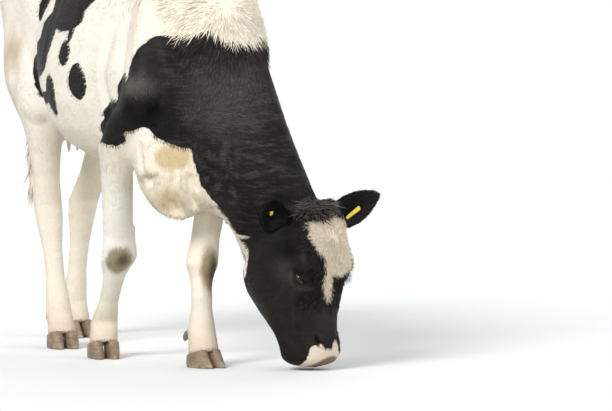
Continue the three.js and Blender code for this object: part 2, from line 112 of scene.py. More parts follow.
def unit(vectors: Array) -> Array:
    """The same directions with length 1."""
    return vectors / np.maximum(np.linalg.norm(vectors, axis=-1, keepdims=True), 1e-9)


def gap_to(points: Array, place: Array) -> Array:
    """How far points lie from a place."""
    return np.linalg.norm(points - place, axis=1)


def to_path(points: Array, path: Array) -> tuple[Array, Array]:
    """How far points lie from a line of straight pieces, and where along it they come nearest.

    Args:
        points: places, one a row.
        path: the line's corners, one a row.

    Returns:
        The distances, and the shares of the line's length from its start.
    """
    steps = np.linalg.norm(np.diff(path, axis=0), axis=1)
    starts = np.concatenate([[0.0], np.cumsum(steps)])
    nearest = np.full(len(points), 1e9)
    along = np.zeros(len(points))
    for i, step in enumerate(steps):
        way = (path[i + 1] - path[i]) / step
        share = np.clip((points - path[i]) @ way, 0.0, step)
        gap = np.linalg.norm(points - path[i] - share[:, None] * way, axis=1)
        closer = gap < nearest
        nearest[closer] = gap[closer]
        along[closer] = (starts[i] + share[closer]) / starts[-1]
    return nearest, along


def ripple(points: Array, size: float, seed: int) -> Array:
    """A smooth random field between about -1 and 1, from a few waves in random directions.

    Args:
        points: places, one a row.
        size: the width of its bumps.
        seed: picks the field.

    Returns:
        One number for each point.
    """
    chance = np.random.default_rng(seed)
    total = np.zeros(len(points))
    for _ in range(7):
        wave = unit(chance.normal(size=3)) * (math.pi / size) * chance.uniform(0.6, 1.5)
        total += np.sin(points @ wave + chance.uniform(0.0, 2.0 * math.pi))
    return total / 3.0


# ---- Anatomy ----


@dataclass(frozen=True)
class EarPlan:
    """How an ear grows: its side, its depth below the poll, its way outwards, forward and up, and its sag."""

    side: float
    low: float
    out: float
    ahead: float
    rise: float
    sag: float


@dataclass
class Anatomy:
    """Where the parts of the body lie, in the body's own measures, and how those sit in the frame."""

    poll: Point = (0.944, 0.348, 0.557)
    head_yaw: float = 26.0
    packed_eye: Point = (0.238, 0.040, 0.104)
    worked_eye: Point = (0.245, 0.041, 0.1025)
    eye_radius: float = 0.0232
    ear_length: float = 0.226
    ear_root: Point = (0.104, 0.1, 0.15)
    poll_line: Point = (0.0, 0.035, 0.07)
    ears: dict[str, EarPlan] = field(
        default_factory=lambda: {
            "left": EarPlan(1.0, 0.062, 0.9, 0.32, 0.34, 0.010),
            "right": EarPlan(-1.0, 0.048, 0.9, 0.27, 0.12, 0.003),
        }
    )
    leg_joints: dict[str, Line] = field(
        default_factory=lambda: {
            "foreleg_left": (
                (0.5, 0.15, 0.748), (0.566, 0.048, 0.352), (0.602, 0.032, 0.122), (0.64, 0.026, 0.03)),
            "foreleg_right": (
                (0.436, -0.206, 0.74), (0.28, -0.137, 0.35), (0.134, -0.13, 0.122), (0.152, -0.14, 0.03)),
            "hindleg_left": (
                (-0.44, 0.172, 0.848), (-0.73, 0.14, 0.478), (-0.775, 0.122, 0.124), (-0.74, 0.12, 0.03)),
            "hindleg_right": (
                (-0.38, -0.15, 0.848), (-0.43, -0.112, 0.48), (-0.345, -0.106, 0.124), (-0.3, -0.11, 0.03)),
        }
    )

    def __post_init__(self) -> None:
        """Finds the head's directions, and the frame's origin from where an eye was packed."""
        turn = math.radians(self.head_yaw)
        self.face = np.array([math.cos(turn), math.sin(turn), 0.0])
        self.left = np.array([-math.sin(turn), math.cos(turn), 0.0])
        self.down = np.array([0.0, 0.0, -1.0])
        self.shift = np.zeros(3)
        low, high = (np.array(corner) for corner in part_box("eye_left"))
        self.shift = (low + high) / 2.0 - self.on_head(*self.packed_eye)

    def at(self, *point: float) -> Array:
        """A place of the body, in the frame."""
        return np.array(point) + self.shift

    def path(self, points: Iterable[Point]) -> Array:
        """Places of the body, in the frame, one a row."""
        return np.array(list(points)) + self.shift

    def on_head(self, down: float, back: float, left: float) -> Array:
        """A place of the head in the frame: down the face from the poll, behind the forehead, to the left."""
        return np.array(self.poll) + self.shift + down * self.down - back * self.face + left * self.left

    def in_head(self, points: Array) -> Array:
        """Places in the head's measures: down from the poll, back from the forehead, to the left."""
        off = points - np.array(self.poll) - self.shift
        return np.stack([off @ self.down, -(off @ self.face), off @ self.left], axis=1)

    def eye(self, side: float) -> Array:
        """The middle of an eye."""
        down, back, left = self.worked_eye
        return self.on_head(down, back, side * left)

    def eye_gap(self, points: Array) -> Array:
        """How far from the nearer eye each place is."""
        return np.min([gap_to(points, self.eye(side)) for _, side in SIDES], axis=0)

    def poll_gap(self, points: Array) -> Array:
        """How far each place is from the line across the top of the head, between the ears."""
        down, back, left = self.poll_line
        return to_path(points, np.array([self.on_head(down, back, side * left) for side in (-1.0, 1.0)]))[0]

    def ear_frame(self, name: str) -> tuple[Array, Array]:
        """Where an ear grows, and its directions as rows: along it, across it and out of its opening."""
        plan = self.ears[name]
        back, left, droop = self.ear_root
        upwards = -self.down
        along = unit(plan.side * plan.out * self.left + plan.ahead * self.face + plan.rise * upwards)
        across = unit(np.cross(self.face - droop * upwards, along))
        root = self.on_head(plan.low, back, plan.side * left)
        return root, np.stack([along, across, np.cross(along, across)])

    def in_ear(self, name: str, points: Array) -> Array:
        """Places in an ear's measures: along it, across it and out of its opening."""
        root, ways = self.ear_frame(name)
        place = (points - root) @ ways.T
        plan = self.ears[name]
        share = np.clip(place[:, 0] / self.ear_length, 0.0, 1.0)
        place[:, 1] += plan.side * plan.sag * np.sin(math.pi * share)
        return place


@dataclass
class Regions:
    """How much of each part of the body a place belongs to, from 0 to 1."""

    anatomy: Anatomy
    neck_root: Point = (0.65, 0.0, 0.3)
    neck_way: Point = (0.96, 0.2, -0.146)
    dock: Point = (-0.887, 0.01, 1.234)
    tail_way: Point = (-0.3, 0.0, -0.95)
    foreleg_top: float = 0.72
    hindleg_top: float = 0.8

    def head(self, points: Array) -> Array:
        """The head, ahead of the slanted plane behind the poll and the jaw."""
        down, back, left = self.anatomy.in_head(points).T
        ahead = (down + 0.01) * 0.725 + (0.1 - back) * 0.689
        near = smoothstep(np.abs(left), 0.34, 0.3) * smoothstep(back, 0.5, 0.44)
        return smoothstep(ahead, -0.02, 0.02) * near * smoothstep(down, -0.06, -0.03)

    def ear(self, name: str, points: Array) -> Array:
        """An ear, out from its root."""
        along, across, out = self.anatomy.in_ear(name, points).T
        return smoothstep(along, 0.0, 0.02) * smoothstep(np.hypot(across, out), 0.09, 0.08)

    def ears(self, points: Array) -> Array:
        """Both ears."""
        return np.maximum(self.ear("left", points), self.ear("right", points))

    def neck(self, points: Array) -> Array:
        """The neck, from the shoulder to the head."""
        ahead = (points - self.anatomy.at(*self.neck_root)) @ unit(np.array(self.neck_way))
        above = smoothstep(points[:, 2], 0.30, 0.34)
        return smoothstep(ahead, -0.03, 0.05) * above * (1.0 - self.head(points))

    def tail(self, points: Array) -> Array:
        """The tail below its root."""
        behind = (points - self.anatomy.at(*self.dock)) @ unit(np.array(self.tail_way))
        near = gap_to(points[:, :2], self.anatomy.at(-0.889, MIDDLE, 0.0)[:2])
        return smoothstep(behind, -0.03, 0.02) * smoothstep(near, 0.075, 0.055)

    def leg(self, name: str, points: Array) -> Array:
        """A leg below the belly or the breast."""
        gap, _ = to_path(points, self.anatomy.path(self.anatomy.leg_joints[name]))
        top = self.foreleg_top if name in FORELEGS else self.hindleg_top
        return smoothstep(points[:, 2], top, top - 0.22) * smoothstep(gap, 0.19, 0.15)

    def legs(self, points: Array, names: Iterable[str] = LEGS) -> Array:
        """All four legs, or some of them."""
        return np.max([self.leg(name, points) for name in names], axis=0)


# ---- Meshes ----


def new_object(name: str, mesh: Mesh) -> Object:
    """A mesh as an object of the scene, at the origin."""
    thing = bpy.data.objects.new(name, mesh)
    bpy.context.scene.collection.objects.link(thing)
    return thing


def dissolve(thing: Object) -> None:
    """Removes a working object and its mesh."""
    mesh = thing.data
    bpy.data.objects.remove(thing)
    bpy.data.meshes.remove(mesh)


def read(items: bpy.types.bpy_prop_collection, what: str, width: int, kind: type = np.float32) -> Array:
    """A value of each item, one a row."""
    flat = np.empty(len(items) * width, kind)
    items.foreach_get(what, flat)
    return flat.reshape(-1, width)


def places(mesh: Mesh) -> Array:
    """A mesh's vertices, one a row."""
    return read(mesh.vertices, "co", 3).astype(np.float64)


def put_places(mesh: Mesh, points: Array) -> None:
    """Moves a mesh's vertices."""
    mesh.vertices.foreach_set("co", points.astype(np.float32).ravel())
    mesh.update()


def edge_ends(mesh: Mesh) -> tuple[Array, Array]:
    """The two vertices of each edge."""
    ends = read(mesh.edges, "vertices", 2, np.int32)
    return ends[:, 0], ends[:, 1]


def normals(mesh: Mesh) -> Array:
    """The directions that a mesh's vertices face."""
    return read(mesh.vertex_normals, "vector", 3).astype(np.float64)


def triangles(mesh: Mesh) -> Array:
    """A mesh's faces as triangles of vertex numbers."""
    mesh.calc_loop_triangles()
    return read(mesh.loop_triangles, "vertices", 3, np.int32)


def as_bmesh(mesh: Mesh) -> BMesh:
    """A working copy of a mesh."""
    made = bmesh.new()
    made.from_mesh(mesh)
    return made


def as_mesh(name: str, work: BMesh) -> Mesh:
    """A new mesh from a bmesh, which is used up."""
    made = bpy.data.meshes.new(name)
    work.to_mesh(made)
    work.free()
    return made


def with_modifier(thing: Object, kind: str, **settings: object) -> Object:
    """An object with a modifier applied, in place of the one given.

    Args:
        thing: the object, which is used up.
        kind: the modifier's type.
        settings: the modifier's values.

    Returns:
        The new object, under the same name.
    """
    change = thing.modifiers.new(kind, kind)
    for name, value in settings.items():
        setattr(change, name, value)
    seen = thing.evaluated_get(bpy.context.evaluated_depsgraph_get())
    mesh = bpy.data.meshes.new_from_object(seen)
    name = thing.name
    groups = [group.name for group in thing.vertex_groups]
    dissolve(thing)
    result = new_object(name, mesh)
    for group in groups:
        result.vertex_groups.new(name=group)
    return result


def dress(thing: Object, material: Material, slot: str, *nodes: str) -> None:
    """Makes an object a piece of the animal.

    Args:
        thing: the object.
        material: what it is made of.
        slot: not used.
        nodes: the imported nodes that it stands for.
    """
    thing.data.materials.append(material)
    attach(thing, "root")
    if nodes:
        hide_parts(*nodes)
    log.info("%s: %d faces", thing.name, len(thing.data.polygons))


def relax(points: Array, ends: tuple[Array, Array], weight: Array, rounds: int) -> Array:
    """Smooths points halfway towards the middle of their neighbours.

    Args:
        points: places, one a row.
        ends: the two vertices of each edge.
        weight: how much each point takes part, from 0 to 1.
        rounds: how many times.

    Returns:
        The smoothed places.
    """
    first, second = ends
    count = np.bincount(first, minlength=len(points)) + np.bincount(second, minlength=len(points))
    pull = (0.5 * weight / np.maximum(count, 1))[:, None]
    for _ in range(rounds):
        total = np.empty_like(points)
        for k in range(3):
            total[:, k] = np.bincount(first, points[second, k], len(points))
            total[:, k] += np.bincount(second, points[first, k], len(points))
        points = points + pull * (total - count[:, None] * points)
    return points


# ---- Materials ----

Colour = tuple[float, float, float]


@dataclass
class Wires:
    """A node tree, and short ways to add to it."""

    tree: bpy.types.NodeTree

    def node(self, kind: str, **settings: object) -> Node:
        """A new node with some of its properties set."""
        made = self.tree.nodes.new("ShaderNode" + kind)
        for name, value in settings.items():
            setattr(made, name, value)
        return made

    def plug(self, source: object, target: Socket) -> None:
        """Feeds a socket from another socket, or sets its value."""
        if isinstance(source, Socket):
            self.tree.links.new(source, target)
        elif isinstance(source, (tuple, list)) and target.type == "RGBA" and len(source) == 3:
            target.default_value = (*source, 1.0)
        else:
            target.default_value = source

    def feed(self, node: Node, values: dict[object, object]) -> Node:
        """Feeds some of a node's sockets, each by its name or number."""
        for name, value in values.items():
            self.plug(value, node.inputs[name])
        return node

    def math(self, operation: str, *values: object) -> Socket:
        """A sum on numbers."""
        return self.feed(self.node("Math", operation=operation), dict(enumerate(values))).outputs[0]

    def vector(self, operation: str, *values: object) -> Node:
        """A sum on vectors."""
        return self.feed(self.node("VectorMath", operation=operation), dict(enumerate(values)))

    def scaled(self, place: Socket, *size: float) -> Socket:
        """A place multiplied by a size in each direction."""
        return self.vector("MULTIPLY", place, size).outputs[0]

    def turned(self, place: Socket, degrees: float) -> Socket:
        """A place turned back about the upright; the same turn of the same place is made once."""
        if degrees == 0.0:
            return place
        name = f"turned {place.node.name} {place.identifier} {degrees:g}"
        if name not in self.tree.nodes:
            made = self.node("VectorRotate", rotation_type="Z_AXIS", name=name)
            self.feed(made, {"Vector": place, "Angle": -math.radians(degrees)})
        return self.tree.nodes[name].outputs[0]

    def step(self, value: object, low: float, high: float) -> Socket:
        """A smooth step from 0 at low to 1 at high; falls where low is over high."""
        made = self.node("MapRange", interpolation_type="SMOOTHSTEP")
        start, end = (1.0, 0.0) if low > high else (0.0, 1.0)
        self.feed(made, {"Value": value, "From Min": min(low, high), "From Max": max(low, high)})
        return self.feed(made, {"To Min": start, "To Max": end}).outputs["Result"]

    def span(self, value: object, low: float, high: float) -> Socket:
        """A number from 0 to 1 stretched to run from low to high."""
        made = self.feed(self.node("MapRange"), {"Value": value, "To Min": low, "To Max": high})
        return made.outputs["Result"]

    def noise(self, place: object, scale: float, detail: float = 2.0, rough: float = 0.5) -> Node:
        """A noise texture."""
        values = {"Vector": place, "Scale": scale, "Detail": detail, "Roughness": rough}
        return self.feed(self.node("TexNoise"), values)

    def mix(self, share: object, first: object, second: object, way: str = "MIX") -> Socket:
        """A blend of two colours."""
        made = self.node("Mix", data_type="RGBA", blend_type=way)
        return self.feed(made, {0: share, 6: first, 7: second}).outputs[2]

    def height(self, place: object) -> Socket:
        """How high a place is."""
        return self.feed(self.node("SeparateXYZ"), {"Vector": place}).outputs["Z"]

    def stray(self, *noise: object) -> Socket:
        """A random vector with its middle at 0, from the settings of a noise texture."""
        return self.vector("SUBTRACT", self.noise(*noise).outputs["Color"], (0.5, 0.5, 0.5)).outputs[0]

    def bump(
        self, height: Socket, distance: float, strength: float, under: Optional[Socket] = None
    ) -> Socket:
        """A bumped normal."""
        made = self.feed(self.node("Bump"), {"Height": height, "Distance": distance, "Strength": strength})
        if under is not None:
            self.plug(under, made.inputs["Normal"])
        return made.outputs[0]


def new_material(name: str) -> tuple[Material, Wires, Node]:
    """A new material with its wires and its shader."""
    material = bpy.data.materials.new(name)
    material.use_nodes = True
    return material, Wires(material.node_tree), material.node_tree.nodes["Principled BSDF"]


def new_group(name: str, inputs: dict[str, str], outputs: dict[str, str]) -> tuple[Wires, Node, Node]:
    """An empty node group with named sockets.

    Args:
        name: the group's name.
        inputs: the kind of each input.
        outputs: the kind of each output.

    Returns:
        The group's wires, its input node and its output node.
    """
    tree = bpy.data.node_groups.new(name, "ShaderNodeTree")
    for way, sockets in (("INPUT", inputs), ("OUTPUT", outputs)):
        for title, kind in sockets.items():
            tree.interface.new_socket(title, in_out=way, socket_type="NodeSocket" + kind)
    return Wires(tree), tree.nodes.new("NodeGroupInput"), tree.nodes.new("NodeGroupOutput")


@dataclass(frozen=True)
class Patch:
    """An egg-shaped patch of the coat: its middle, its half sizes and its turn about the vertical."""

    middle: Point
    half: Point
    turn: float = 0.0


Patches = tuple[Patch, ...]


@dataclass(frozen=True)
class Tint:
    """A colour laid over the coat inside some patches, with a soft edge.

    The edge is ragged unless the tint is even. Streaks, where it has them, are the least and the most of the
    colour along the combed locks.
    """

    patches: Patches
    edge: float
    colour: Colour
    share: float = 1.0
    even: bool = False
    streaks: Optional[tuple[float, float]] = None


@dataclass
class Markings:
    """The colours of the coat as a function of place: patches of black, white, cream and dirt, with painted
    light and shade.
    """

    anatomy: Anatomy
    white: Colour = (0.86, 0.805, 0.715)
    cream: Colour = (0.85, 0.72, 0.53)
    black: Colour = (0.0085, 0.0076, 0.0070)
    brown_black: Colour = (0.026, 0.018, 0.013)
    # painted sheen: the grey of the shining streaks and patches on the black hair
    grey_black: Colour = (0.045, 0.0410, 0.0385)
    lid_brown: Colour = (0.095, 0.060, 0.042)
    khaki: Colour = (0.25, 0.18, 0.075)
    # the brown of the grime patches, which is partly painted shade
    stain: Colour = (0.50, 0.35, 0.20)
    dust: Colour = (0.60, 0.45, 0.31)
    fold_turn: float = 20.0
    front: Patches = (
        Patch((0.865, 0.12, 0.75), (0.185, 0.3, 0.45)),
        Patch((0.77, 0.2, 0.97), (0.2, 0.2, 0.25)),
        Patch((0.74, -0.08, 0.95), (0.2, 0.24, 0.215)),
        Patch((0.58, -0.22, 0.88), (0.10, 0.12, 0.085)),
        Patch((0.52, -0.21, 0.925), (0.07, 0.1, 0.07)),
        Patch((0.42, -0.22, 0.83), (0.125, 0.1, 0.062)),
        Patch((0.32, -0.20, 0.785), (0.065, 0.1, 0.036)),
        Patch((0.49, -0.26, 0.78), (0.085, 0.07, 0.040)),
        Patch((0.62, 0.25, 0.93), (0.19, 0.13, 0.17)),
        Patch((0.50, 0.26, 0.84), (0.12, 0.11, 0.09)),
    )
    body: Patches = (
        Patch((-0.03, -0.02, 1.40), (0.27, 0.20, 0.13)),
        Patch((-0.01, -0.2, 1.27), (0.21, 0.17, 0.12)),
        Patch((0.04, -0.24, 1.165), (0.115, 0.15, 0.055)),
        Patch((-0.12, -0.24, 1.10), (0.09, 0.12, 0.09)),
        Patch((0.105, -0.24, 1.115), (0.018, 0.10, 0.035)),
        Patch((-0.165, -0.22, 1.02), (0.12, 0.12, 0.07)),
        Patch((-0.285, -0.2, 0.965), (0.06, 0.10, 0.065)),
        Patch((-0.275, -0.195, 0.922), (0.06, 0.10, 0.040)),
        Patch((-0.025, -0.25, 0.895), (0.042, 0.10, 0.072)),
        Patch((-0.17, -0.23, 0.885), (0.16, 0.10, 0.024)),
        Patch((-0.295, -0.19, 1.2), (0.032, 0.10, 0.065)),
        Patch((0.085, -0.25, 1.04), (0.034, 0.10, 0.044)),
        Patch((0.172, -0.245, 0.945), (0.052, 0.10, 0.062)),
        Patch((-0.22, 0.26, 1.04), (0.22, 0.13, 0.17)),
        Patch((-0.05, 0.22, 1.26), (0.17, 0.14, 0.12)),
        Patch((0.16, 0.27, 0.86), (0.055, 0.1, 0.075)),
        Patch((-0.66, 0.22, 1.08), (0.10, 0.12, 0.15)),
        Patch((-0.60, 0.2, 0.87), (0.05, 0.1, 0.05)),
        Patch((-0.80, -0.06, 1.28), (0.07, 0.08, 0.07)),
    )
    withers: Patches = (
        Patch((0.60, -0.10, 1.450), (0.60, 0.30, 0.345)),
        Patch((0.78, 0.12, 1.42), (0.28, 0.24, 0.325)),
        Patch((0.60, 0.34, 1.42), (0.60, 0.30, 0.36)),
    )
    throat: Patches = (
        Patch((0.700, 0.115, 0.415), (0.034, 0.034, 0.060)),
        Patch((0.712, 0.138, 0.375), (0.020, 0.028, 0.075)),
        Patch((0.742, 0.137, 0.437), (0.022, 0.018, 0.007)),
    )
    knees: Patches = (
        Patch((0.325, -0.152, 0.335), (0.05, 0.055, 0.055)),
        Patch((0.628, 0.060, 0.325), (0.05, 0.036, 0.085)),
    )
    # grime patches, partly painted shade: the crease in front of the right thigh and the shaded underside of
    # the breast
    soiled: Patches = (
        Patch((-0.49, -0.23, 0.98), (0.075, 0.1, 0.14)),
        Patch((0.62, -0.1, 0.56), (0.07, 0.09, 0.03)),
    )
    mud: Patches = (
        Patch((0.615, 0.078, 0.31), (0.045, 0.026, 0.06)),
        Patch((0.332, -0.14, 0.345), (0.04, 0.022, 0.02)),
    )
    # painted light: whiter hair on the right foreleg, where it lies in the shade of the body
    clean_leg: Patch = Patch((0.34, -0.17, 0.46), (0.13, 0.09, 0.32))
    brisket: tuple[Tint, ...] = (
        Tint((Patch((0.63, -0.05, 0.60), (0.13, 0.17, 0.12)),), 0.04, (0.79, 0.69, 0.53), 0.7),
        Tint((Patch((0.685, -0.105, 0.708), (0.06, 0.062, 0.043)),), 0.008, (0.58, 0.42, 0.215), 0.8),
        # painted shade in the hollow under the breast
        Tint((Patch((0.668, -0.112, 0.567), (0.055, 0.045, 0.042)),), 0.035, (0.36, 0.285, 0.125), 0.65),
        # painted shade in the crevice between the breast and the right foreleg
        Tint((Patch((0.620, -0.18, 0.642), (0.035, 0.035, 0.010)),), 0.014, (0.10, 0.075, 0.035), 0.8),
    )

    def group(self) -> bpy.types.NodeTree:
        """The node group, from a place to the coat's colour there, and how black it is."""
        wires, entry, out = new_group("markings", {"Place": "Vector"}, {"Colour": "Color", "Black": "Float"})
        place = entry.outputs["Place"]
        self.wires, self.place = wires, place
        moved = wires.vector("MULTIPLY_ADD", wires.stray(place, 9.0, 1.0), (0.022,) * 3, place).outputs[0]
        moved = wires.vector("MULTIPLY_ADD", wires.stray(place, 45.0, 2.0), (0.014,) * 3, moved).outputs[0]
        self.moved = wires.vector("ADD", moved, self.wandering()).outputs[0]
        cloud = wires.noise(place, 5.0, 3.0).outputs[0]
        mask = wires.step(self.edge_of_black(), 0.0015, -0.0015)
        colour = wires.mix(mask, self.white_hair(cloud), self.black_hair(cloud))
        wires.plug(colour, out.inputs["Colour"])
        wires.plug(mask, out.inputs["Black"])
        return wires.tree

    def edge_of_black(self) -> Socket:
        """How far outside the black hair a place lies, in metres and below 0 inside."""
        wires, moved = self.wires, self.moved
        dark, pale = self.head_patches()
        withers = wires.math("MULTIPLY", self.joined(moved, self.withers), -1.0)
        front = wires.math("SMOOTH_MAX", self.joined(moved, self.front), withers, 0.01)
        black = wires.math("SMOOTH_MIN", front, self.joined(moved, dark), 0.01)
        shown = wires.math("MULTIPLY", self.joined(moved, pale, 0.006), -1.0)
        black = wires.math("SMOOTH_MAX", black, shown, 0.002)
        return wires.math("MINIMUM", black, self.joined(moved, self.body))

    def white_hair(self, cloud: Socket) -> Socket:
        """The colour of the white hair: creamy, soiled below, with painted light on the right foreleg, grime
        mixed with painted shade on the flank and under the breast, painted shade in the breast's hollow and
        crevice, and bare and brown at the nose.
        """
        wires = self.wires
        white = self.tinted(self.white, self.face_tints())
        low = wires.math("MULTIPLY", wires.step(wires.height(self.place), 0.95, 0.6), 0.34)
        white = wires.mix(low, white, self.cream)
        # painted light on the right foreleg
        leg_light = Tint((self.clean_leg,), 0.06, (0.96, 0.93, 0.875), 0.85, even=True)
        white = self.tinted(white, (leg_light,))
        white = wires.mix(wires.step(cloud, 0.5, 0.75), white, wires.mix(0.22, white, self.cream))
        khaki = wires.math("MULTIPLY", self.near(self.moved, self.knees, 0.012), wires.span(cloud, 0.7, 1.0))
        white = wires.mix(khaki, white, self.khaki)
        white = self.tinted(white, (Tint(self.mud, 0.014, (0.055, 0.040, 0.018), 0.75),))
        # grime mixed with painted shade, broken up by the cloud
        grime_and_shade = wires.math("MULTIPLY", self.near(self.moved, self.soiled, 0.035), wires.step(cloud, 0.3, 0.6))
        white = wires.mix(wires.math("MULTIPLY", grime_and_shade, 0.75), white, self.stain)
        white = self.tinted(white, self.brisket)
        feet = wires.math("MULTIPLY", wires.step(wires.height(self.moved), 0.19, 0.06), 0.5)
        white = wires.mix(feet, white, self.dust)
        return self.tinted(white, self.nose_tints())

    def black_hair(self, cloud: Socket) -> Socket:
        """The colour of the black hair: rusty in places, with painted sheen as lighter grey combed streaks
        and patches, and painted shade as the deepest black in the hollows.
        """
        wires = self.wires
        rust = wires.step(wires.noise(self.place, 3.0, 2.0).outputs[0], 0.5, 0.75)
        coal = wires.mix(wires.math("MULTIPLY", rust, 0.35), self.black, self.brown_black)
        # painted sheen: lighter grey along the combed streaks of the neck, across the throat's folds, and on
        # the lit places
        comb = wires.noise(wires.scaled(self.place, 16.0, 16.0, 105.0), 1.0, 2.0, 0.55).outputs[0]
        neck = self.near(self.place, (Patch((0.76, 0.12, 0.85), (0.2, 0.34, 0.34)),), 0.08)
        combed = wires.math("MULTIPLY", wires.step(comb, 0.42, 0.68), wires.span(neck, 0.15, 0.85))
        throat = (Patch((0.775, 0.03, 0.655), (0.09, 0.09, 0.12), self.fold_turn),)
        across = wires.scaled(wires.turned(self.place, self.fold_turn), 70.0, 110.0, 9.0)
        folds = wires.step(wires.noise(across, 1.0, 1.0, 0.5).outputs[0], 0.46, 0.62)
        combed = wires.mix(self.near(self.moved, throat, 0.03), combed, folds)
        lit = self.near(self.moved, self.lit_places(), 0.04)
        lit = wires.math("MULTIPLY", lit, wires.span(comb, 0.2, 0.9))
        coal = wires.mix(wires.math("MAXIMUM", combed, lit), coal, self.grey_black)
        coal = self.tinted(coal, self.black_tints(), comb)
        thin = wires.mix(cloud, self.black, self.lid_brown)
        return wires.mix(self.near(self.moved, self.brown_places(), 0.012), coal, thin)

    def tinted(self, colour: object, tints: Iterable[Tint], comb: Optional[Socket] = None) -> Socket:
        """A colour with tints laid over it, one after another.

        Args:
            colour: the colour under them.
            tints: the tints.
            comb: the noise that streaks follow.

        Returns:
            The colour.
        """
        for tint in tints:
            share = self.near(self.place if tint.even else self.moved, tint.patches, tint.edge)
            if tint.streaks:
                share = self.wires.math("MULTIPLY", share, self.wires.span(comb, *tint.streaks))
            elif tint.share < 1.0:
                share = self.wires.math("MULTIPLY", share, tint.share)
            colour = self.wires.mix(share, colour, tint.colour)
        return colour

    def face_tints(self) -> tuple[Tint, ...]:
        """Cream on the shoulder, the darker hair of the forehead, and painted shade in the forehead's hollow.
        """
        shoulder = Patch((0.66, 0.04, 1.2), (0.24, 0.26, 0.17))
        forehead = self.head_patch(0.18, 0.05, 0.0, (0.12, 0.15, 0.22))
        hollow = self.head_patch(0.155, 0.0, 0.02, (0.1, 0.022, 0.045))
        return (
            Tint((shoulder,), 0.08, self.cream, 0.45, even=True),
            Tint((forehead,), 0.03, (0.80, 0.685, 0.505), 0.65, even=True),
            # painted shade in the hollow of the forehead under its whorl
            Tint((hollow,), 0.02, (0.42, 0.36, 0.22), 0.3),
        )

    def nose_tints(self) -> tuple[Tint, ...]:
        """The muzzle: nearly bare pink skin, and brown leather."""
        bare = self.head_patch(0.53, 0.02, 0.0, (0.10, 0.1, 0.055))
        leather = self.head_patch(0.560, 0.03, 0.012, (0.10, 0.066, 0.055))
        return (
            Tint((bare,), 0.012, (0.80, 0.66, 0.56), even=True),
            Tint((leather,), 0.008, (0.19, 0.105, 0.05), 0.9, even=True),
        )

    def black_tints(self) -> tuple[Tint, ...]:
        """Painted sheen as grey streaks on the neck, the poll and the shoulder, and painted shade as the
        deepest black in the hollows.
        """
        neck = Patch((0.81, 0.03, 0.90), (0.10, 0.13, 0.11))
        poll = self.head_patch(0.0, 0.02, 0.0, (0.06, 0.08, 0.03))
        shoulder = Patch((0.628, -0.22, 0.945), (0.045, 0.06, 0.026))
        return (
            # painted sheen: grey streaks on the neck, the poll and the shoulder
            Tint((neck,), 0.08, (0.062, 0.056, 0.052), even=True, streaks=(0.45, 1.0)),
            Tint((poll,), 0.02, (0.085, 0.066, 0.058), even=True, streaks=(0.2, 0.9)),
            Tint((shoulder,), 0.03, (0.135, 0.122, 0.108), even=True, streaks=(0.3, 1.0)),
            # painted shade: the deepest black in the hollows
            Tint(self.deep_places(), 0.03, (0.0012, 0.0011, 0.0010)),
        )

    def head_patches(self) -> tuple[Patches, Patches]:
        """The black of the head, and what is white on the head and throat."""
        on_head = self.head_patch
        dark = (on_head(0.25, 0.12, 0.0, (0.22, 0.46, 0.40)), on_head(0.0, 0.08, 0.3, (0.2, 0.16, 0.16)))
        pale = (
            on_head(0.108, 0.0, 0.010, (0.09, 0.088, 0.072)),
            on_head(0.060, 0.0, -0.075, (0.07, 0.022, 0.013)),
            on_head(0.180, 0.0, 0.036, (0.06, 0.068, 0.056)),
            on_head(0.262, 0.0, -0.008, (0.06, 0.019, 0.055)),
            on_head(0.492, 0.02, -0.064, (0.08, 0.017, 0.022)),
            on_head(0.530, 0.02, -0.044, (0.08, 0.035, 0.060)),
            on_head(0.540, 0.02, 0.010, (0.08, 0.070, 0.062)),
            on_head(0.490, 0.00, 0.024, (0.05, 0.020, 0.036)),
            on_head(0.560, 0.05, -0.006, (0.08, 0.058, 0.05)),
        )
        return dark, pale + self.throat

    def brown_places(self) -> Patches:
        """Where the black hair is thin and brown: behind and below the eyes."""
        found = []
        for _, side in SIDES:
            found.append(self.head_patch(0.243, 0.066, 0.118 * side, (0.012, 0.03, 0.022)))
            found.append(self.head_patch(0.272, 0.030, 0.1 * side, (0.02, 0.022, 0.006)))
        return tuple(found)

    def lit_places(self) -> Patches:
        """Where sheen is painted into the black hair as grey: the poll, the cheeks, beside the nose, the
        shoulder.
        """
        poll = self.head_patch(0.01, 0.03, 0.0, (0.06, 0.1, 0.05))
        found = [poll, Patch((0.60, -0.215, 0.96), (0.09, 0.1, 0.055))]
        for _, side in SIDES:
            found.append(self.head_patch(0.215, 0.10, 0.13 * side, (0.035, 0.04, 0.05)))
            found.append(self.head_patch(0.375, 0.0, 0.022 * side, (0.03, 0.022, 0.05)))
        return tuple(found)

    def deep_places(self) -> Patches:
        """Where shade is painted as the deepest black: in the ears, behind the eyes, in front of the
        shoulder.
        """
        found = [
            Patch((0.63, -0.16, 0.84), (0.07, 0.07, 0.05)),
            Patch((0.83, 0.27, 1.0), (0.06, 0.05, 0.14)),
            Patch((0.665, -0.13, 0.80), (0.05, 0.06, 0.030)),
            Patch((0.60, -0.21, 0.885), (0.04, 0.05, 0.026)),
        ]
        for name, side in SIDES:
            root, ways = self.anatomy.ear_frame(name)
            found.append(self.patch_at(root + ways[0] * 0.095 + ways[2] * 0.012, (0.075, 0.075, 0.07)))
            found.append(self.head_patch(0.15, 0.10, 0.11 * side, (0.05, 0.04, 0.03)))
        return tuple(found)

    def patch_at(self, place: Array, half: Point, turn: float = 0.0) -> Patch:
        """A patch round a place of the frame."""
        return Patch(tuple(float(v) for v in place - self.anatomy.shift), half, turn)

    def head_patch(self, down: float, back: float, left: float, half: Point) -> Patch:
        """A patch in the head's measures, its half sizes ahead, to the side and down."""
        return self.patch_at(self.anatomy.on_head(down, back, left), half, self.anatomy.head_yaw)

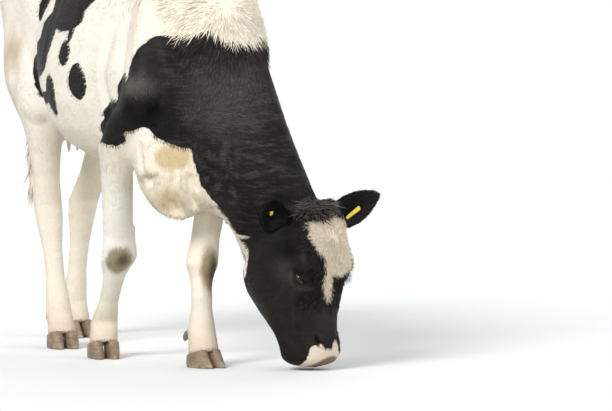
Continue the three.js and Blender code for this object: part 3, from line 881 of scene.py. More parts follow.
    def wandering(self) -> Socket:
        """How far the edges of the patches on the left of the trunk wander."""
        wires = self.wires
        split = wires.node("SeparateXYZ")
        wires.plug(self.place, split.inputs[0])
        ahead, across, _ = self.anatomy.shift
        left = wires.step(split.outputs["Y"], across + 0.06, across + 0.16)
        rear = wires.step(split.outputs["X"], ahead + 0.50, ahead + 0.35)
        share = wires.math("MULTIPLY", wires.math("MULTIPLY", left, rear), 0.30)
        return wires.vector("MULTIPLY", wires.stray(self.place, 4.5, 3.0, 0.6), share).outputs[0]

    def joined(self, place: Socket, patches: Iterable[Patch], softness: float = 0.012) -> Socket:
        """How far outside a group of patches a place lies, in metres and below 0 inside.

        Args:
            place: the place.
            patches: the patches.
            softness: how far they run into each other.

        Returns:
            The distance.
        """
        wires, total = self.wires, None
        for patch in patches:
            cos, sin = math.cos(math.radians(patch.turn)), math.sin(math.radians(patch.turn))
            x, y, z = np.array(patch.middle) + self.anatomy.shift
            middle = np.array([x * cos + y * sin, y * cos - x * sin, z])
            grow = 1.0 / np.array(patch.half)
            turned = wires.turned(place, patch.turn)
            off = wires.vector("MULTIPLY_ADD", turned, tuple(grow), tuple(-middle * grow)).outputs[0]
            length = wires.vector("LENGTH", off).outputs["Value"]
            outside = wires.math("MULTIPLY_ADD", length, min(patch.half), -min(patch.half))
            total = outside if total is None else wires.math("SMOOTH_MIN", total, outside, softness)
        return total

    def near(self, place: Socket, patches: Iterable[Patch], edge: float) -> Socket:
        """1 inside a group of patches, fading to 0 over an edge."""
        return self.wires.step(self.joined(place, patches), edge, -edge)


@dataclass
class Finishes:
    """The materials of the heifer."""

    anatomy: Anatomy

    def __post_init__(self) -> None:
        """Makes the groups that more than one material uses."""
        self.markings = Markings(self.anatomy).group()

    def marked(self, wires: Wires, place: Socket) -> tuple[Socket, Socket]:
        """The colour and the blackness of the coat at a place."""
        made = wires.feed(wires.node("Group", node_tree=self.markings), {"Place": place})
        return made.outputs["Colour"], made.outputs["Black"]

    def skin(self) -> Material:
        """Short flat hair over skin, with the markings."""
        material, wires, shader = new_material("skin")
        place = wires.node("TexCoord").outputs["Object"]
        marks, black = self.marked(wires, place)
        low = wires.step(wires.height(place), 0.85, 0.65)
        size = wires.mix(low, (90.0, 200.0, 200.0), (280.0, 280.0, 45.0))
        hair = wires.noise(wires.vector("MULTIPLY", place, size).outputs[0], 1.0, 3.0, 0.6).outputs[0]
        shade = wires.mix(wires.span(hair, 0.0, 0.5), marks, (0.0, 0.0, 0.0), "MULTIPLY")
        wires.feed(shader, {
            "Base Color": wires.mix(0.35, marks, shade),
            "Roughness": wires.span(black, 0.75, 0.5),
            "Normal": wires.bump(hair, 0.0015, 0.6),
            "Specular IOR Level": 0.1,
        })
        return material

    def coat(self, name: str, contrast: float) -> Material:
        """Tufts of hair, each of the colour at its root, streaked along its length.

        Args:
            name: the material's name.
            contrast: how much lighter or darker a tuft may be than the next.

        Returns:
            The material.
        """
        material, wires, shader = new_material(name)
        root = wires.node("Attribute", attribute_name="root").outputs["Vector"]
        marks, black = self.marked(wires, root)
        shade = wires.node("Attribute", attribute_name="shade").outputs["Fac"]
        strand = wires.node("UVMap", uv_map="Strand").outputs["UV"]
        streak = wires.noise(wires.scaled(strand, 7.0, 0.9, 1.0), 1.0, 2.0, 0.6).outputs[0]
        tone = wires.span(shade, 1.0 - 0.7 * contrast, 1.0 + 0.3 * contrast)
        light = wires.math("ADD", tone, wires.span(streak, -0.09, 0.09))
        strong = wires.math("POWER", 1.0 + 8.0 * contrast, wires.math("SUBTRACT", shade, 0.5))
        gleam = wires.math("MULTIPLY", black, wires.math("SUBTRACT", strong, 1.0))
        light = wires.math("ADD", light, gleam)
        grey = wires.feed(wires.node("CombineColor"), {0: light, 1: light, 2: light}).outputs[0]
        wires.feed(shader, {
            "Base Color": wires.mix(1.0, marks, grey, "MULTIPLY"),
            "Roughness": wires.span(black, 0.70, 0.42),
            "Normal": wires.bump(streak, 0.0004, 0.4),
            "Specular IOR Level": 0.1,
            "Sheen Weight": 0.03,
            "Sheen Roughness": 0.5,
        })
        return material

    def eyeball(self) -> Material:
        """A wet dark-brown eye with an oval pupil, which lies along the slit."""
        material, wires, shader = new_material("eyeball")
        gaze = wires.node("Attribute", attribute_name="gaze").outputs["Vector"]
        iris = wires.vector("LENGTH", wires.scaled(gaze, 1.0, 1.0, 0.0)).outputs["Value"]
        pupil = wires.vector("LENGTH", wires.scaled(gaze, 1.0, 1.7, 0.0)).outputs["Value"]
        rays = wires.noise(wires.scaled(gaze, 14.0, 14.0, 2.0), 1.0, 3.0, 0.6).outputs[0]
        brown = wires.mix(rays, (0.018, 0.008, 0.004), (0.075, 0.032, 0.014))
        veins = wires.noise(gaze, 6.0, 3.0).outputs[0]
        white = wires.mix(veins, (0.13, 0.085, 0.065), (0.05, 0.030, 0.022))
        colour = wires.mix(wires.step(iris, 0.56, 0.66), brown, white)
        colour = wires.mix(wires.step(pupil, 0.40, 0.34), colour, (0.002, 0.002, 0.003))
        wires.feed(shader, {
            "Base Color": colour,
            "Roughness": wires.span(rays, 0.10, 0.16),
            "Specular IOR Level": 0.3,
            "Coat Weight": 0.4,
            "Coat Roughness": 0.1,
        })
        return material

    def horn(self) -> Material:
        """Ringed horn, paler and worn towards the sole, with soil in the rings."""
        material, wires, shader = new_material("horn")
        place = wires.node("TexCoord").outputs["Object"]
        grain = wires.noise(wires.scaled(place, 420.0, 420.0, 30.0), 1.0, 2.0, 0.6).outputs[0]
        cloud = wires.noise(place, 26.0, 3.0, 0.6).outputs[0]
        rings = wires.noise(wires.scaled(place, 12.0, 12.0, 260.0), 1.0, 2.0, 0.5).outputs[0]
        colour = wires.mix(wires.step(cloud, 0.3, 0.7), (0.115, 0.075, 0.045), (0.26, 0.18, 0.105))
        colour = wires.mix(wires.math("MULTIPLY", grain, 0.45), colour, (0.36, 0.27, 0.17))
        soil = wires.math("MULTIPLY", wires.step(rings, 0.5, 0.7), 0.5)
        colour = wires.mix(soil, colour, (0.06, 0.04, 0.025))
        low = wires.step(wires.height(place), 0.02, 0.002)
        worn = wires.math("MULTIPLY", wires.math("MULTIPLY", low, wires.step(cloud, 0.4, 0.6)), 0.6)
        wires.feed(shader, {
            "Base Color": wires.mix(worn, colour, (0.42, 0.35, 0.25)),
            "Roughness": wires.span(cloud, 0.38, 0.66),
            "Normal": wires.bump(grain, 0.0002, 0.5, wires.bump(rings, 0.0006, 0.7)),
        })
        return material

    def plastic(self) -> Material:
        """Plain yellow moulded plastic, a little chalky and soiled."""
        material, wires, shader = new_material("tag plastic")
        place = wires.node("TexCoord").outputs["Object"]
        cloud = wires.noise(place, 120.0, 3.0, 0.6).outputs[0]
        fine = wires.noise(place, 900.0, 2.0, 0.5).outputs[0]
        colour = wires.mix(wires.math("MULTIPLY", cloud, 0.35), (0.86, 0.62, 0.03), (0.70, 0.47, 0.06))
        soil = wires.math("MULTIPLY", wires.step(cloud, 0.6, 0.75), 0.4)
        colour = wires.mix(soil, colour, (0.30, 0.22, 0.08))
        wires.feed(shader, {
            "Base Color": colour,
            "Roughness": wires.span(cloud, 0.34, 0.56),
            "Normal": wires.bump(fine, 0.0001, 0.4),
        })
        return material


# ---- Forms of the skin ----


@dataclass(frozen=True)
class Form:
    """A muscle, bone, tendon or fold: a line on the skin that is raised, or sunk where rise is negative.

    The line is in the body's measures or in the head's: down from the poll, behind the forehead, to the left.
    """

    path: Line
    reach: float
    rise: float
    head: bool = False
    both: bool = True


def pair(reach: float, rise: float, *path: Point) -> Form:
    """A form of the body, on both sides."""
    return Form(path, reach, rise)


def single(reach: float, rise: float, *path: Point) -> Form:
    """A form of the body that isn't mirrored."""
    return Form(path, reach, rise, both=False)


def of_head(reach: float, rise: float, *path: Point) -> Form:
    """A form of the head, on both sides."""
    return Form(path, reach, rise, head=True)


BODY_FORMS: tuple[Form, ...] = (
    pair(0.045, 0.006, (0.47, 0.17, 1.31), (0.56, 0.205, 1.12), (0.635, 0.215, 0.94)),  # spine of the blade
    pair(0.06, -0.005, (0.40, 0.19, 1.25), (0.45, 0.22, 1.05), (0.52, 0.225, 0.93)),
    pair(0.11, 0.010, (0.42, 0.22, 0.98), (0.44, 0.23, 0.86)),  # triceps
    pair(0.05, -0.009, (0.34, 0.22, 1.15), (0.33, 0.235, 0.95), (0.36, 0.22, 0.76)),  # behind the shoulder
    pair(0.05, 0.008, (0.24, 0.23, 0.74), (0.31, 0.21, 0.69), (0.37, 0.2, 0.66)),  # fold behind the elbow
    pair(0.07, 0.008, (0.62, 0.19, 0.98), (0.66, 0.2, 0.88)),  # point of the shoulder
    pair(0.03, 0.0010, (0.17, 0.21, 1.24), (0.2, 0.26, 1.05), (0.2, 0.25, 0.86)),  # ribs
    pair(0.03, 0.0011, (0.09, 0.21, 1.24), (0.12, 0.26, 1.05), (0.12, 0.26, 0.84)),
    pair(0.03, 0.0013, (0.01, 0.21, 1.24), (0.04, 0.265, 1.05), (0.05, 0.265, 0.82)),
    pair(0.03, 0.0015, (-0.07, 0.21, 1.25), (-0.04, 0.26, 1.05), (-0.02, 0.265, 0.84)),
    pair(0.032, 0.0018, (-0.15, 0.21, 1.25), (-0.12, 0.26, 1.06), (-0.10, 0.26, 0.88)),
    pair(0.035, 0.0028, (-0.22, 0.2, 1.22), (-0.18, 0.25, 1.06), (-0.16, 0.25, 0.93)),
    pair(0.08, -0.010, (-0.27, 0.19, 1.27), (-0.30, 0.2, 1.2), (-0.33, 0.2, 1.1)),  # hollow of the flank
    # The fold of the flank.
    pair(0.05, 0.011, (-0.45, 0.2, 0.9), (-0.36, 0.215, 0.84), (-0.26, 0.21, 0.78), (-0.2, 0.2, 0.73)),
    pair(0.06, 0.008, (-0.44, 0.21, 1.33), (-0.41, 0.215, 1.29)),  # hip bone
    pair(0.05, -0.007, (-0.52, 0.17, 1.33), (-0.66, 0.15, 1.3), (-0.76, 0.13, 1.27)),  # between hip and pin
    pair(0.05, 0.007, (-0.81, 0.1, 1.27), (-0.83, 0.09, 1.23)),  # pin bone
    pair(0.035, -0.006, (-0.76, 0.16, 1.2), (-0.74, 0.2, 1.0), (-0.68, 0.21, 0.8), (-0.66, 0.19, 0.68)),
    pair(0.12, 0.010, (-0.58, 0.2, 1.1), (-0.55, 0.235, 0.95)),  # thigh
    pair(0.02, 0.003, (-0.2, 0.08, 0.675), (0.0, 0.09, 0.66), (0.2, 0.08, 0.655)),  # milk vein
    # The spine, the hollows beside it, and those beside the tail head.
    single(0.03, 0.004, (0.3, 0.01, 1.395), (0.0, 0.01, 1.39), (-0.4, 0.01, 1.42), (-0.7, 0.01, 1.395)),
    pair(0.04, -0.003, (-0.3, 0.07, 1.4), (-0.6, 0.07, 1.4)),
    pair(0.035, -0.012, (-0.73, 0.045, 1.37), (-0.8, 0.05, 1.32)),
)
# The breast, throat and neck turn to the left, so their folds are set one by one.
FRONT_FORMS: tuple[Form, ...] = (
    single(0.035, -0.010, (0.715, 0.0, 0.98), (0.7, -0.02, 0.8), (0.65, -0.03, 0.62), (0.58, -0.03, 0.54)),
    single(0.03, 0.009, (0.72, 0.07, 0.95), (0.71, 0.06, 0.75), (0.67, 0.04, 0.6), (0.6, 0.02, 0.53)),
    single(0.03, 0.008, (0.66, -0.09, 0.85), (0.64, -0.1, 0.7), (0.58, -0.1, 0.6)),
    single(0.03, -0.008, (0.62, -0.15, 0.8), (0.57, -0.16, 0.68), (0.5, -0.15, 0.6)),
    single(0.02, -0.006, (0.69, -0.04, 0.92), (0.68, -0.05, 0.8), (0.64, -0.06, 0.7)),
    single(0.03, -0.008, (0.70, 0.11, 0.9), (0.7, 0.12, 0.7), (0.68, 0.14, 0.55)),
    single(0.020, -0.012, (0.60, -0.20, 0.75), (0.61, -0.19, 0.66), (0.635, -0.17, 0.625)),
    single(0.014, -0.009, (0.627, -0.18, 0.635), (0.65, -0.15, 0.645)),
    single(0.013, 0.010, (0.695, -0.088, 0.66), (0.684, -0.085, 0.60), (0.685, -0.055, 0.54),
           (0.67, -0.03, 0.50)),
    single(0.024, -0.011, (0.69, -0.115, 0.63), (0.675, -0.115, 0.57), (0.66, -0.09, 0.535)),
    single(0.018, -0.008, (0.70, -0.05, 0.64), (0.695, -0.045, 0.59), (0.69, -0.03, 0.55)),
    single(0.020, 0.009, (0.64, -0.13, 0.515), (0.655, -0.09, 0.51), (0.66, -0.06, 0.51)),
    single(0.018, 0.008, (0.70, -0.02, 0.59), (0.70, -0.005, 0.555)),
)
LEG_FORMS: tuple[Form, ...] = (
    single(0.03, 0.009, (0.335, -0.105, 0.45), (0.322, -0.095, 0.40), (0.31, -0.09, 0.36)),
    single(0.03, -0.004, (0.45, -0.15, 0.55), (0.42, -0.14, 0.48)),
)
HEAD_FORMS: tuple[Form, ...] = (
    of_head(0.03, 0.005, (0.19, 0.012, 0.09), (0.205, 0.004, 0.11), (0.232, 0.012, 0.118)),  # brow
    of_head(0.022, 0.005, (0.27, 0.05, 0.1), (0.31, 0.062, 0.098), (0.36, 0.068, 0.086), (0.40, 0.07, 0.08)),
    of_head(0.045, -0.007, (0.14, 0.09, 0.1), (0.19, 0.1, 0.11)),  # temple
    of_head(0.09, 0.008, (0.25, 0.2, 0.1), (0.3, 0.21, 0.095)),  # cheek
    of_head(0.022, -0.005, (0.27, 0.12, 0.1), (0.32, 0.17, 0.09), (0.35, 0.24, 0.07)),
    of_head(0.022, -0.004, (0.3, 0.02, 0.06), (0.36, 0.014, 0.052), (0.43, 0.012, 0.046)),  # nasal bone
    Form(((0.06, 0.0, 0.0), (0.12, -0.01, 0.0)), 0.06, 0.004, head=True, both=False),  # forehead
    Form(((0.16, -0.01, 0.0), (0.25, -0.006, 0.0)), 0.05, -0.003, head=True, both=False),
    Form(
        ((0.235, 0.345, 0.03), (0.3, 0.325, 0.03), (0.38, 0.275, 0.026), (0.45, 0.22, 0.02)),
        0.03,
        -0.006,
        head=True,
        both=False,
    ),  # between the jaws
)


@dataclass(frozen=True)
class Pleat:
    """Skin folds side by side along a line: their reach, spacing and depth, and the way across them."""

    reach: float
    spacing: float
    depth: float
    across: Point
    path: Line


PLEATS: tuple[Pleat, ...] = (
    Pleat(0.085, 0.019, 0.0026, (0.42, 0.90, 0.08),
          ((0.655, 0.0, 0.82), (0.70, 0.05, 0.62), (0.73, 0.11, 0.47))),
    Pleat(0.08, 0.021, 0.0022, (0.42, -0.90, 0.08),
          ((0.62, 0.19, 0.80), (0.67, 0.22, 0.62), (0.70, 0.23, 0.47))),
    Pleat(0.11, 0.021, 0.0011, (0.28, 0.10, -0.95),
          ((0.83, 0.10, 0.86), (0.88, 0.18, 0.68), (0.91, 0.23, 0.57))),
    Pleat(0.11, 0.023, 0.0011, (0.28, 0.10, -0.95),
          ((0.80, 0.30, 0.86), (0.84, 0.36, 0.68), (0.86, 0.40, 0.57))),
    Pleat(0.07, 0.028, 0.0030, (0.45, 0.70, -0.55),
          ((0.62, -0.12, 0.70), (0.60, -0.08, 0.62), (0.56, -0.04, 0.56))),
)


@dataclass
class Sculptor:
    """Works the forms of the body into the skin."""

    anatomy: Anatomy

    def path_of(self, form: Form, side: float) -> Array:
        """A form's line in the frame, on the left (1) or right (-1) side."""
        if form.head:
            return np.array([self.anatomy.on_head(down, back, side * left) for down, back, left in form.path])
        if not form.both:
            return self.anatomy.path(form.path)
        return self.anatomy.path((x, MIDDLE + side * (y - MIDDLE), z) for x, y, z in form.path)

    def press(self, points: Array, facing: Array, path: Array, reach: float, rise: float) -> None:
        """Raises or sinks the points near a line, fading out at its reach."""
        low, high = path.min(axis=0) - reach, path.max(axis=0) + reach
        near = np.where(np.all((points > low) & (points < high), axis=1))[0]
        if not len(near):
            return
        gap = to_path(points[near], path)[0]
        near, gap = near[gap < reach], gap[gap < reach]
        fade = (1.0 - (gap / reach) ** 2) ** 2
        points[near] += facing[near] * (rise * fade)[:, None]

    def work(self, points: Array, facing: Array) -> None:
        """Works all the forms into the points."""
        for form in BODY_FORMS + FRONT_FORMS + LEG_FORMS + HEAD_FORMS:
            for side in (1.0, -1.0) if form.both else (1.0,):
                self.press(points, facing, self.path_of(form, side), form.reach, form.rise)
        for pleat in PLEATS:
            self.fold(points, facing, pleat)

    def fold(self, points: Array, facing: Array, pleat: Pleat) -> None:
        """Works side-by-side folds into the points."""
        gap, along = to_path(points, self.anatomy.path(pleat.path))
        near = np.where(gap < pleat.reach)[0]
        gap, along, place = gap[near], along[near], points[near]
        fade = (1.0 - (gap / pleat.reach) ** 2) ** 2
        fade = fade * smoothstep(along, 0.0, 0.15) * smoothstep(along, 1.0, 0.85)
        phase = place @ unit(np.array(pleat.across)) / pleat.spacing + 1.6 * ripple(place, 0.09, 5)
        crease = 1.0 - 2.0 * np.abs(np.sin(math.pi * phase)) ** 0.7
        points[near] -= facing[near] * (pleat.depth * fade * crease)[:, None]


@dataclass
class Features:
    """Lids, nostrils and lips: the forms of the face that need a finer skin."""

    anatomy: Anatomy
    regions: Regions
    half_slit: float = 0.0258
    upper_gape: float = 0.0080
    lower_gape: float = 0.0074
    lid: float = 0.0262
    hollow: float = 0.0170
    nostril_depth: float = 0.014
    nostril_place: Point = (0.452, 0.012, 0.050)
    lips: Line = (
        (0.552, 0.066, 0.0),
        (0.548, 0.070, 0.03),
        (0.528, 0.080, 0.060),
        (0.49, 0.094, 0.074),
        (0.45, 0.106, 0.078),
    )

    def eye_ways(self, side: float) -> Array:
        """An eye's directions as rows: down its slit, towards its upper lid, and outwards."""
        anatomy = self.anatomy
        out = unit(side * 0.86 * anatomy.left + 0.5 * anatomy.face)
        along = 0.80 * anatomy.down + 0.60 * anatomy.face
        along = unit(along - (along @ out) * out)
        upper = np.cross(out, along)
        upper = upper * np.sign(upper @ anatomy.face)
        return np.stack([along, upper, out])

    def nostril_ways(self, side: float) -> tuple[Array, Array]:
        """Where a nostril is, and its directions as rows: up and outwards along it, across it, and out."""
        anatomy = self.anatomy
        out = unit(0.8 * anatomy.face + side * 0.62 * anatomy.left + 0.05 * anatomy.down)
        along = -0.8 * anatomy.down + side * 0.55 * anatomy.left
        along = unit(along - (along @ out) * out)
        down, back, left = self.nostril_place
        return anatomy.on_head(down, back, side * left), np.stack([along, np.cross(out, along), out])

    def lip_line(self, side: float) -> Array:
        """The line between the lips, from the middle to the corner of the mouth."""
        return np.array([self.anatomy.on_head(down, back, side * left) for down, back, left in self.lips])

    def refine(self, body: Object, eye_reach: float) -> None:
        """Halves the edges of the skin round the eyes, the nostrils and the mouth."""
        mesh = as_bmesh(body.data)
        points = places(body.data)
        chosen = (self.anatomy.eye_gap(points) < eye_reach) | self.muzzle(points)
        edges = [e for e in mesh.edges if chosen[e.verts[0].index] and chosen[e.verts[1].index]]
        bmesh.ops.subdivide_edges(mesh, edges=edges, cuts=1, smooth=0.6, use_grid_fill=True)
        bmesh.ops.triangulate(mesh, faces=[f for f in mesh.faces if len(f.verts) > 4])
        mesh.to_mesh(body.data)
        mesh.free()

    def work(self, body: Object) -> None:
        """Refines the face twice and works its features into it."""
        self.refine(body, 0.046)
        self.refine(body, 0.036)
        points, facing = places(body.data), normals(body.data)
        for _, side in SIDES:
            self.mouth(points, facing, side)
            self.nostril(points, side)
            self.lids(points, side)
            self.ear_cup(points, side)
        near = np.maximum(smoothstep(self.anatomy.eye_gap(points), 0.05, 0.04), self.muzzle(points))
        put_places(body.data, relax(points, edge_ends(body.data), 0.8 * near, 2))

    def muzzle(self, points: Array) -> Array:
        """Near the nostrils and the mouth."""
        gap = np.min([to_path(points, self.lip_line(side))[0] for _, side in SIDES], axis=0)
        hole = np.min([gap_to(points, self.nostril_ways(side)[0]) for _, side in SIDES], axis=0)
        return (gap < 0.022) | (hole < 0.034)

    def lids(self, points: Array, side: float) -> None:
        """Two thick, creased lids round a slit, and a hole behind the slit for the eyeball."""
        ways = self.eye_ways(side)
        off = points - self.anatomy.eye(side)
        length = np.linalg.norm(off, axis=1)
        u, v, w = (unit(off) @ ways.T).T * self.lid
        close = (length < 0.06) & (w > 0.0)
        arch = np.clip(1.0 - (u / self.half_slit) ** 2, 0.0, 1.0)
        end = np.maximum(np.abs(u) - self.half_slit, 0.0)
        above, below = v - self.upper_gape * arch, -v - self.lower_gape * arch
        gap = np.where(end > 0.0, np.hypot(end, v), np.maximum(above, below))
        rim = self.lid + 0.0022 * smoothstep(gap, 0.0, 0.007) + 0.0016 * smoothstep(gap, 0.006, 0.02)
        folds = np.cos(2.0 * math.pi * (gap - 0.003) / np.where(v > 0.0, 0.0085, 0.0062))
        rim -= 0.0011 * folds * smoothstep(gap, 0.002, 0.006) * smoothstep(gap, 0.024, 0.015)
        rim += 0.0018 * smoothstep(v, 0.0, 0.006) * smoothstep(gap, 0.001, 0.006)
        target = np.where(gap < 0.0, self.hollow, rim)
        share = smoothstep(w / self.lid, 0.36, 0.66) * smoothstep(length, 0.055, 0.04) * close
        points += unit(off) * (share * (target - length))[:, None]

    def nostril(self, points: Array, side: float) -> None:
        """A comma-shaped nostril with a soft rim."""
        middle, ways = self.nostril_ways(side)
        u, v, w = ((points - middle) @ ways.T).T
        v = v + 6.0 * u * u
        ring = np.hypot(u / 0.0165, v / 0.0075)
        close = np.abs(w) < 0.03
        sink = self.nostril_depth * smoothstep(ring, 1.05, 0.4) * close
        rim = 0.0026 * np.exp(-(((ring - 1.45) / 0.35) ** 2)) * close
        points += ways[2] * (rim - sink)[:, None]

    def mouth(self, points: Array, facing: Array, side: float) -> None:
        """The groove between the lips, with the lips full on both sides."""
        gap, along = to_path(points, self.lip_line(side))
        fade = smoothstep(along, 1.0, 0.86)
        groove = -0.0045 * np.exp(-((gap / 0.0026) ** 2)) + 0.0022 * np.exp(-(((gap - 0.009) / 0.0055) ** 2))
        points += facing * (groove * fade * (gap < 0.03))[:, None]

    def ear_cup(self, points: Array, side: float) -> None:
        """A deeper fold inside the ear, between soft ridges that run along it."""
        name = "left" if side > 0.0 else "right"
        along, across, out = self.anatomy.in_ear(name, points).T
        share = self.regions.ear(name, points) * smoothstep(along, 0.03, 0.07) * smoothstep(along, 0.2, 0.15)
        inner = smoothstep(out, -0.02, -0.006)
        ridge = np.cos(across * 2.0 * math.pi / 0.024) * smoothstep(np.abs(across), 0.04, 0.03)
        points += self.anatomy.ear_frame(name)[1][2] * (0.0015 * ridge * share * inner)[:, None]


# ---- Skin ----


@dataclass
class Skin:
    """One skin over all the flesh, inside the solids by the coat's depth."""

    anatomy: Anatomy
    regions: Regions
    voxel: float = 0.0055
    bridge: float = 0.0016
    lid_radius: float = 0.0305
    crest: Line = ((0.3, 0.01, 1.39), (0.5, 0.09, 1.39), (0.644, 0.15, 1.3))
    poll: Point = (0.03, 0.03, 0.0)
    udder: Point = (-0.505, 0.01, 0.70)
    budget: int = 190_000

    def gather(self) -> Object:
        """The solids of flesh, each swollen a little so that they run into each other, in one mesh."""
        whole = bmesh.new()
        for name in FLESH:
            part = as_bmesh(frame["nodes"][name].data)
            bmesh.ops.remove_doubles(part, verts=part.verts, dist=1e-5)
            part.normal_update()
            for vertex, way in [(v, v.normal.copy()) for v in part.verts]:
                vertex.co += way * self.bridge
            mesh = as_mesh("part", part)
            whole.from_mesh(mesh)
            bpy.data.meshes.remove(mesh)
        for _, side in SIDES:
            ball = bmesh.ops.create_icosphere(whole, subdivisions=3, radius=self.lid_radius)
            bmesh.ops.translate(whole, verts=ball["verts"], vec=Vector(self.anatomy.eye(side)))
        return new_object("flesh", as_mesh("flesh", whole))

    def coat_depth(self, points: Array) -> Array:
        """How far inside the solids the skin lies at each place."""
        head = self.regions.head(points)
        legs = self.regions.legs(points)
        ears = self.regions.ears(points)
        depth = 0.005 - 0.0025 * head - 0.0025 * legs
        depth = depth * (1.0 - ears) + 0.0022 * ears
        crest, _ = to_path(points, self.anatomy.path(self.crest))
        depth += 0.009 * smoothstep(crest, 0.22, 0.08)
        depth += 0.010 * smoothstep(gap_to(points, self.anatomy.on_head(*self.poll)), 0.1, 0.04)
        tail = self.regions.tail(points)
        switch = smoothstep(points[:, 2], 0.9, 0.8)
        return depth * (1.0 - tail) + tail * (0.004 + 0.024 * switch)

    def build(self) -> Object:
        """The finished skin."""
        body = self.gather()
        body = with_modifier(body, "REMESH", mode="VOXEL", voxel_size=self.voxel, adaptivity=0.0)
        mesh = body.data
        log.info("skin: %d points at the start", len(mesh.vertices))
        points = places(mesh)
        ends = edge_ends(mesh)
        head = self.regions.head(points)
        ears = self.regions.ears(points)
        soft = self.softness(points, head, ears)
        smooth = relax(points, ends, soft, 110)
        points = smooth + relax(points - smooth, ends, soft, 60)
        put_places(mesh, points)
        facing = normals(mesh)
        depth = self.coat_depth(points)
        points = points - facing * depth[:, None]
        put_places(mesh, points)
        facing = normals(mesh)
        Sculptor(self.anatomy).work(points, facing)
        put_places(mesh, relax(points, ends, np.ones(len(points)) * (1.0 - 0.6 * ears), 4))
        Features(self.anatomy, self.regions).work(body)
        body = self.thin(body)
        body.name = "skin"
        body.data.polygons.foreach_set("use_smooth", np.ones(len(body.data.polygons), bool))
        return body

    def softness(self, points: Array, head: Array, ears: Array) -> Array:
        """How far each place of the skin is smoothed: fully on the trunk, least on ears, legs and teats."""
        teats = np.linalg.norm((points - self.anatomy.at(*self.udder)) / (0.09, 0.07, 0.05), axis=1)
        small = np.maximum.reduce(
            [
                0.82 * head,
                0.85 * ears,
                0.88 * self.regions.legs(points),
                0.95 * self.regions.tail(points),
                0.97 * smoothstep(teats, 1.5, 1.1),
            ]
        )
        return 1.0 - small

    def thin(self, body: Object) -> Object:
        """Thins out the skin of the body and legs, and leaves the head and the pleats as they are."""
        points = places(body.data)
        kept = np.maximum(self.regions.head(points), self.regions.ears(points))
        for pleat in PLEATS:
            gap = to_path(points, self.anatomy.path(pleat.path))[0]
            kept = np.maximum(kept, smoothstep(gap, pleat.reach, 0.05))
        group = body.vertex_groups.new(name="thin")
        group.add([int(i) for i in np.where(kept < 0.5)[0]], 1.0, "ADD")
        share = self.budget / (2.0 * len(body.data.polygons))
        settings = {"decimate_type": "COLLAPSE", "vertex_group": "thin", "vertex_group_factor": 1.0}
        return with_modifier(body, "DECIMATE", ratio=share, **settings)


# ---- Coat ----


@dataclass(frozen=True)
class Lock:
    """A kind of tuft: its length, width, thickness and lift, its wave and spread, its rings and roundness."""

    length: float
    width: float
    thick: float
    lift: float
    wave: float = 0.0
    spread: float = 0.22
    rings: int = 2
    round: float = 0.4
    uneven: float = 0.07
    sunk: float = 0.0012


@dataclass(frozen=True)
class CoatPart:
    """A piece of coat: where it grows, how many tufts of what kind it has, and how they differ in tone."""

    name: str
    where: Where
    count: int
    lock: Lock
    seed: int
    contrast: float = 0.10


@dataclass
class Ground:
    """The skin as the ground that tufts grow on."""

    skin: Object

    def __post_init__(self) -> None:
        """Reads the skin's triangles."""
        mesh = self.skin.data
        self.points = places(mesh)
        self.facing = normals(mesh)
        self.faces = triangles(mesh)
        corners = self.points[self.faces]
        cross = np.cross(corners[:, 1] - corners[:, 0], corners[:, 2] - corners[:, 0])
        self.area = np.linalg.norm(cross, axis=1) / 2.0
        self.middle = corners.mean(axis=1)

    def scatter(self, where: Where, count: int, chance: np.random.Generator) -> tuple[Array, Array]:
        """Spreads places over the skin.

        Args:
            where: how thickly they lie at each place.
            count: how many.
            chance: the random numbers.

        Returns:
            The places, and the directions that the skin faces there.
        """
        share = np.cumsum(self.area * where(self.middle))
        picks = (np.arange(count) + chance.random(count)) / count * share[-1]
        face = self.faces[np.searchsorted(share, picks).clip(0, len(share) - 1)]
        a, b = chance.random(count), chance.random(count)
        over = a + b > 1.0
        a[over], b[over] = 1.0 - a[over], 1.0 - b[over]
        weight = np.stack([1.0 - a - b, a, b], axis=1)[:, :, None]
        return (self.points[face] * weight).sum(axis=1), unit((self.facing[face] * weight).sum(axis=1))


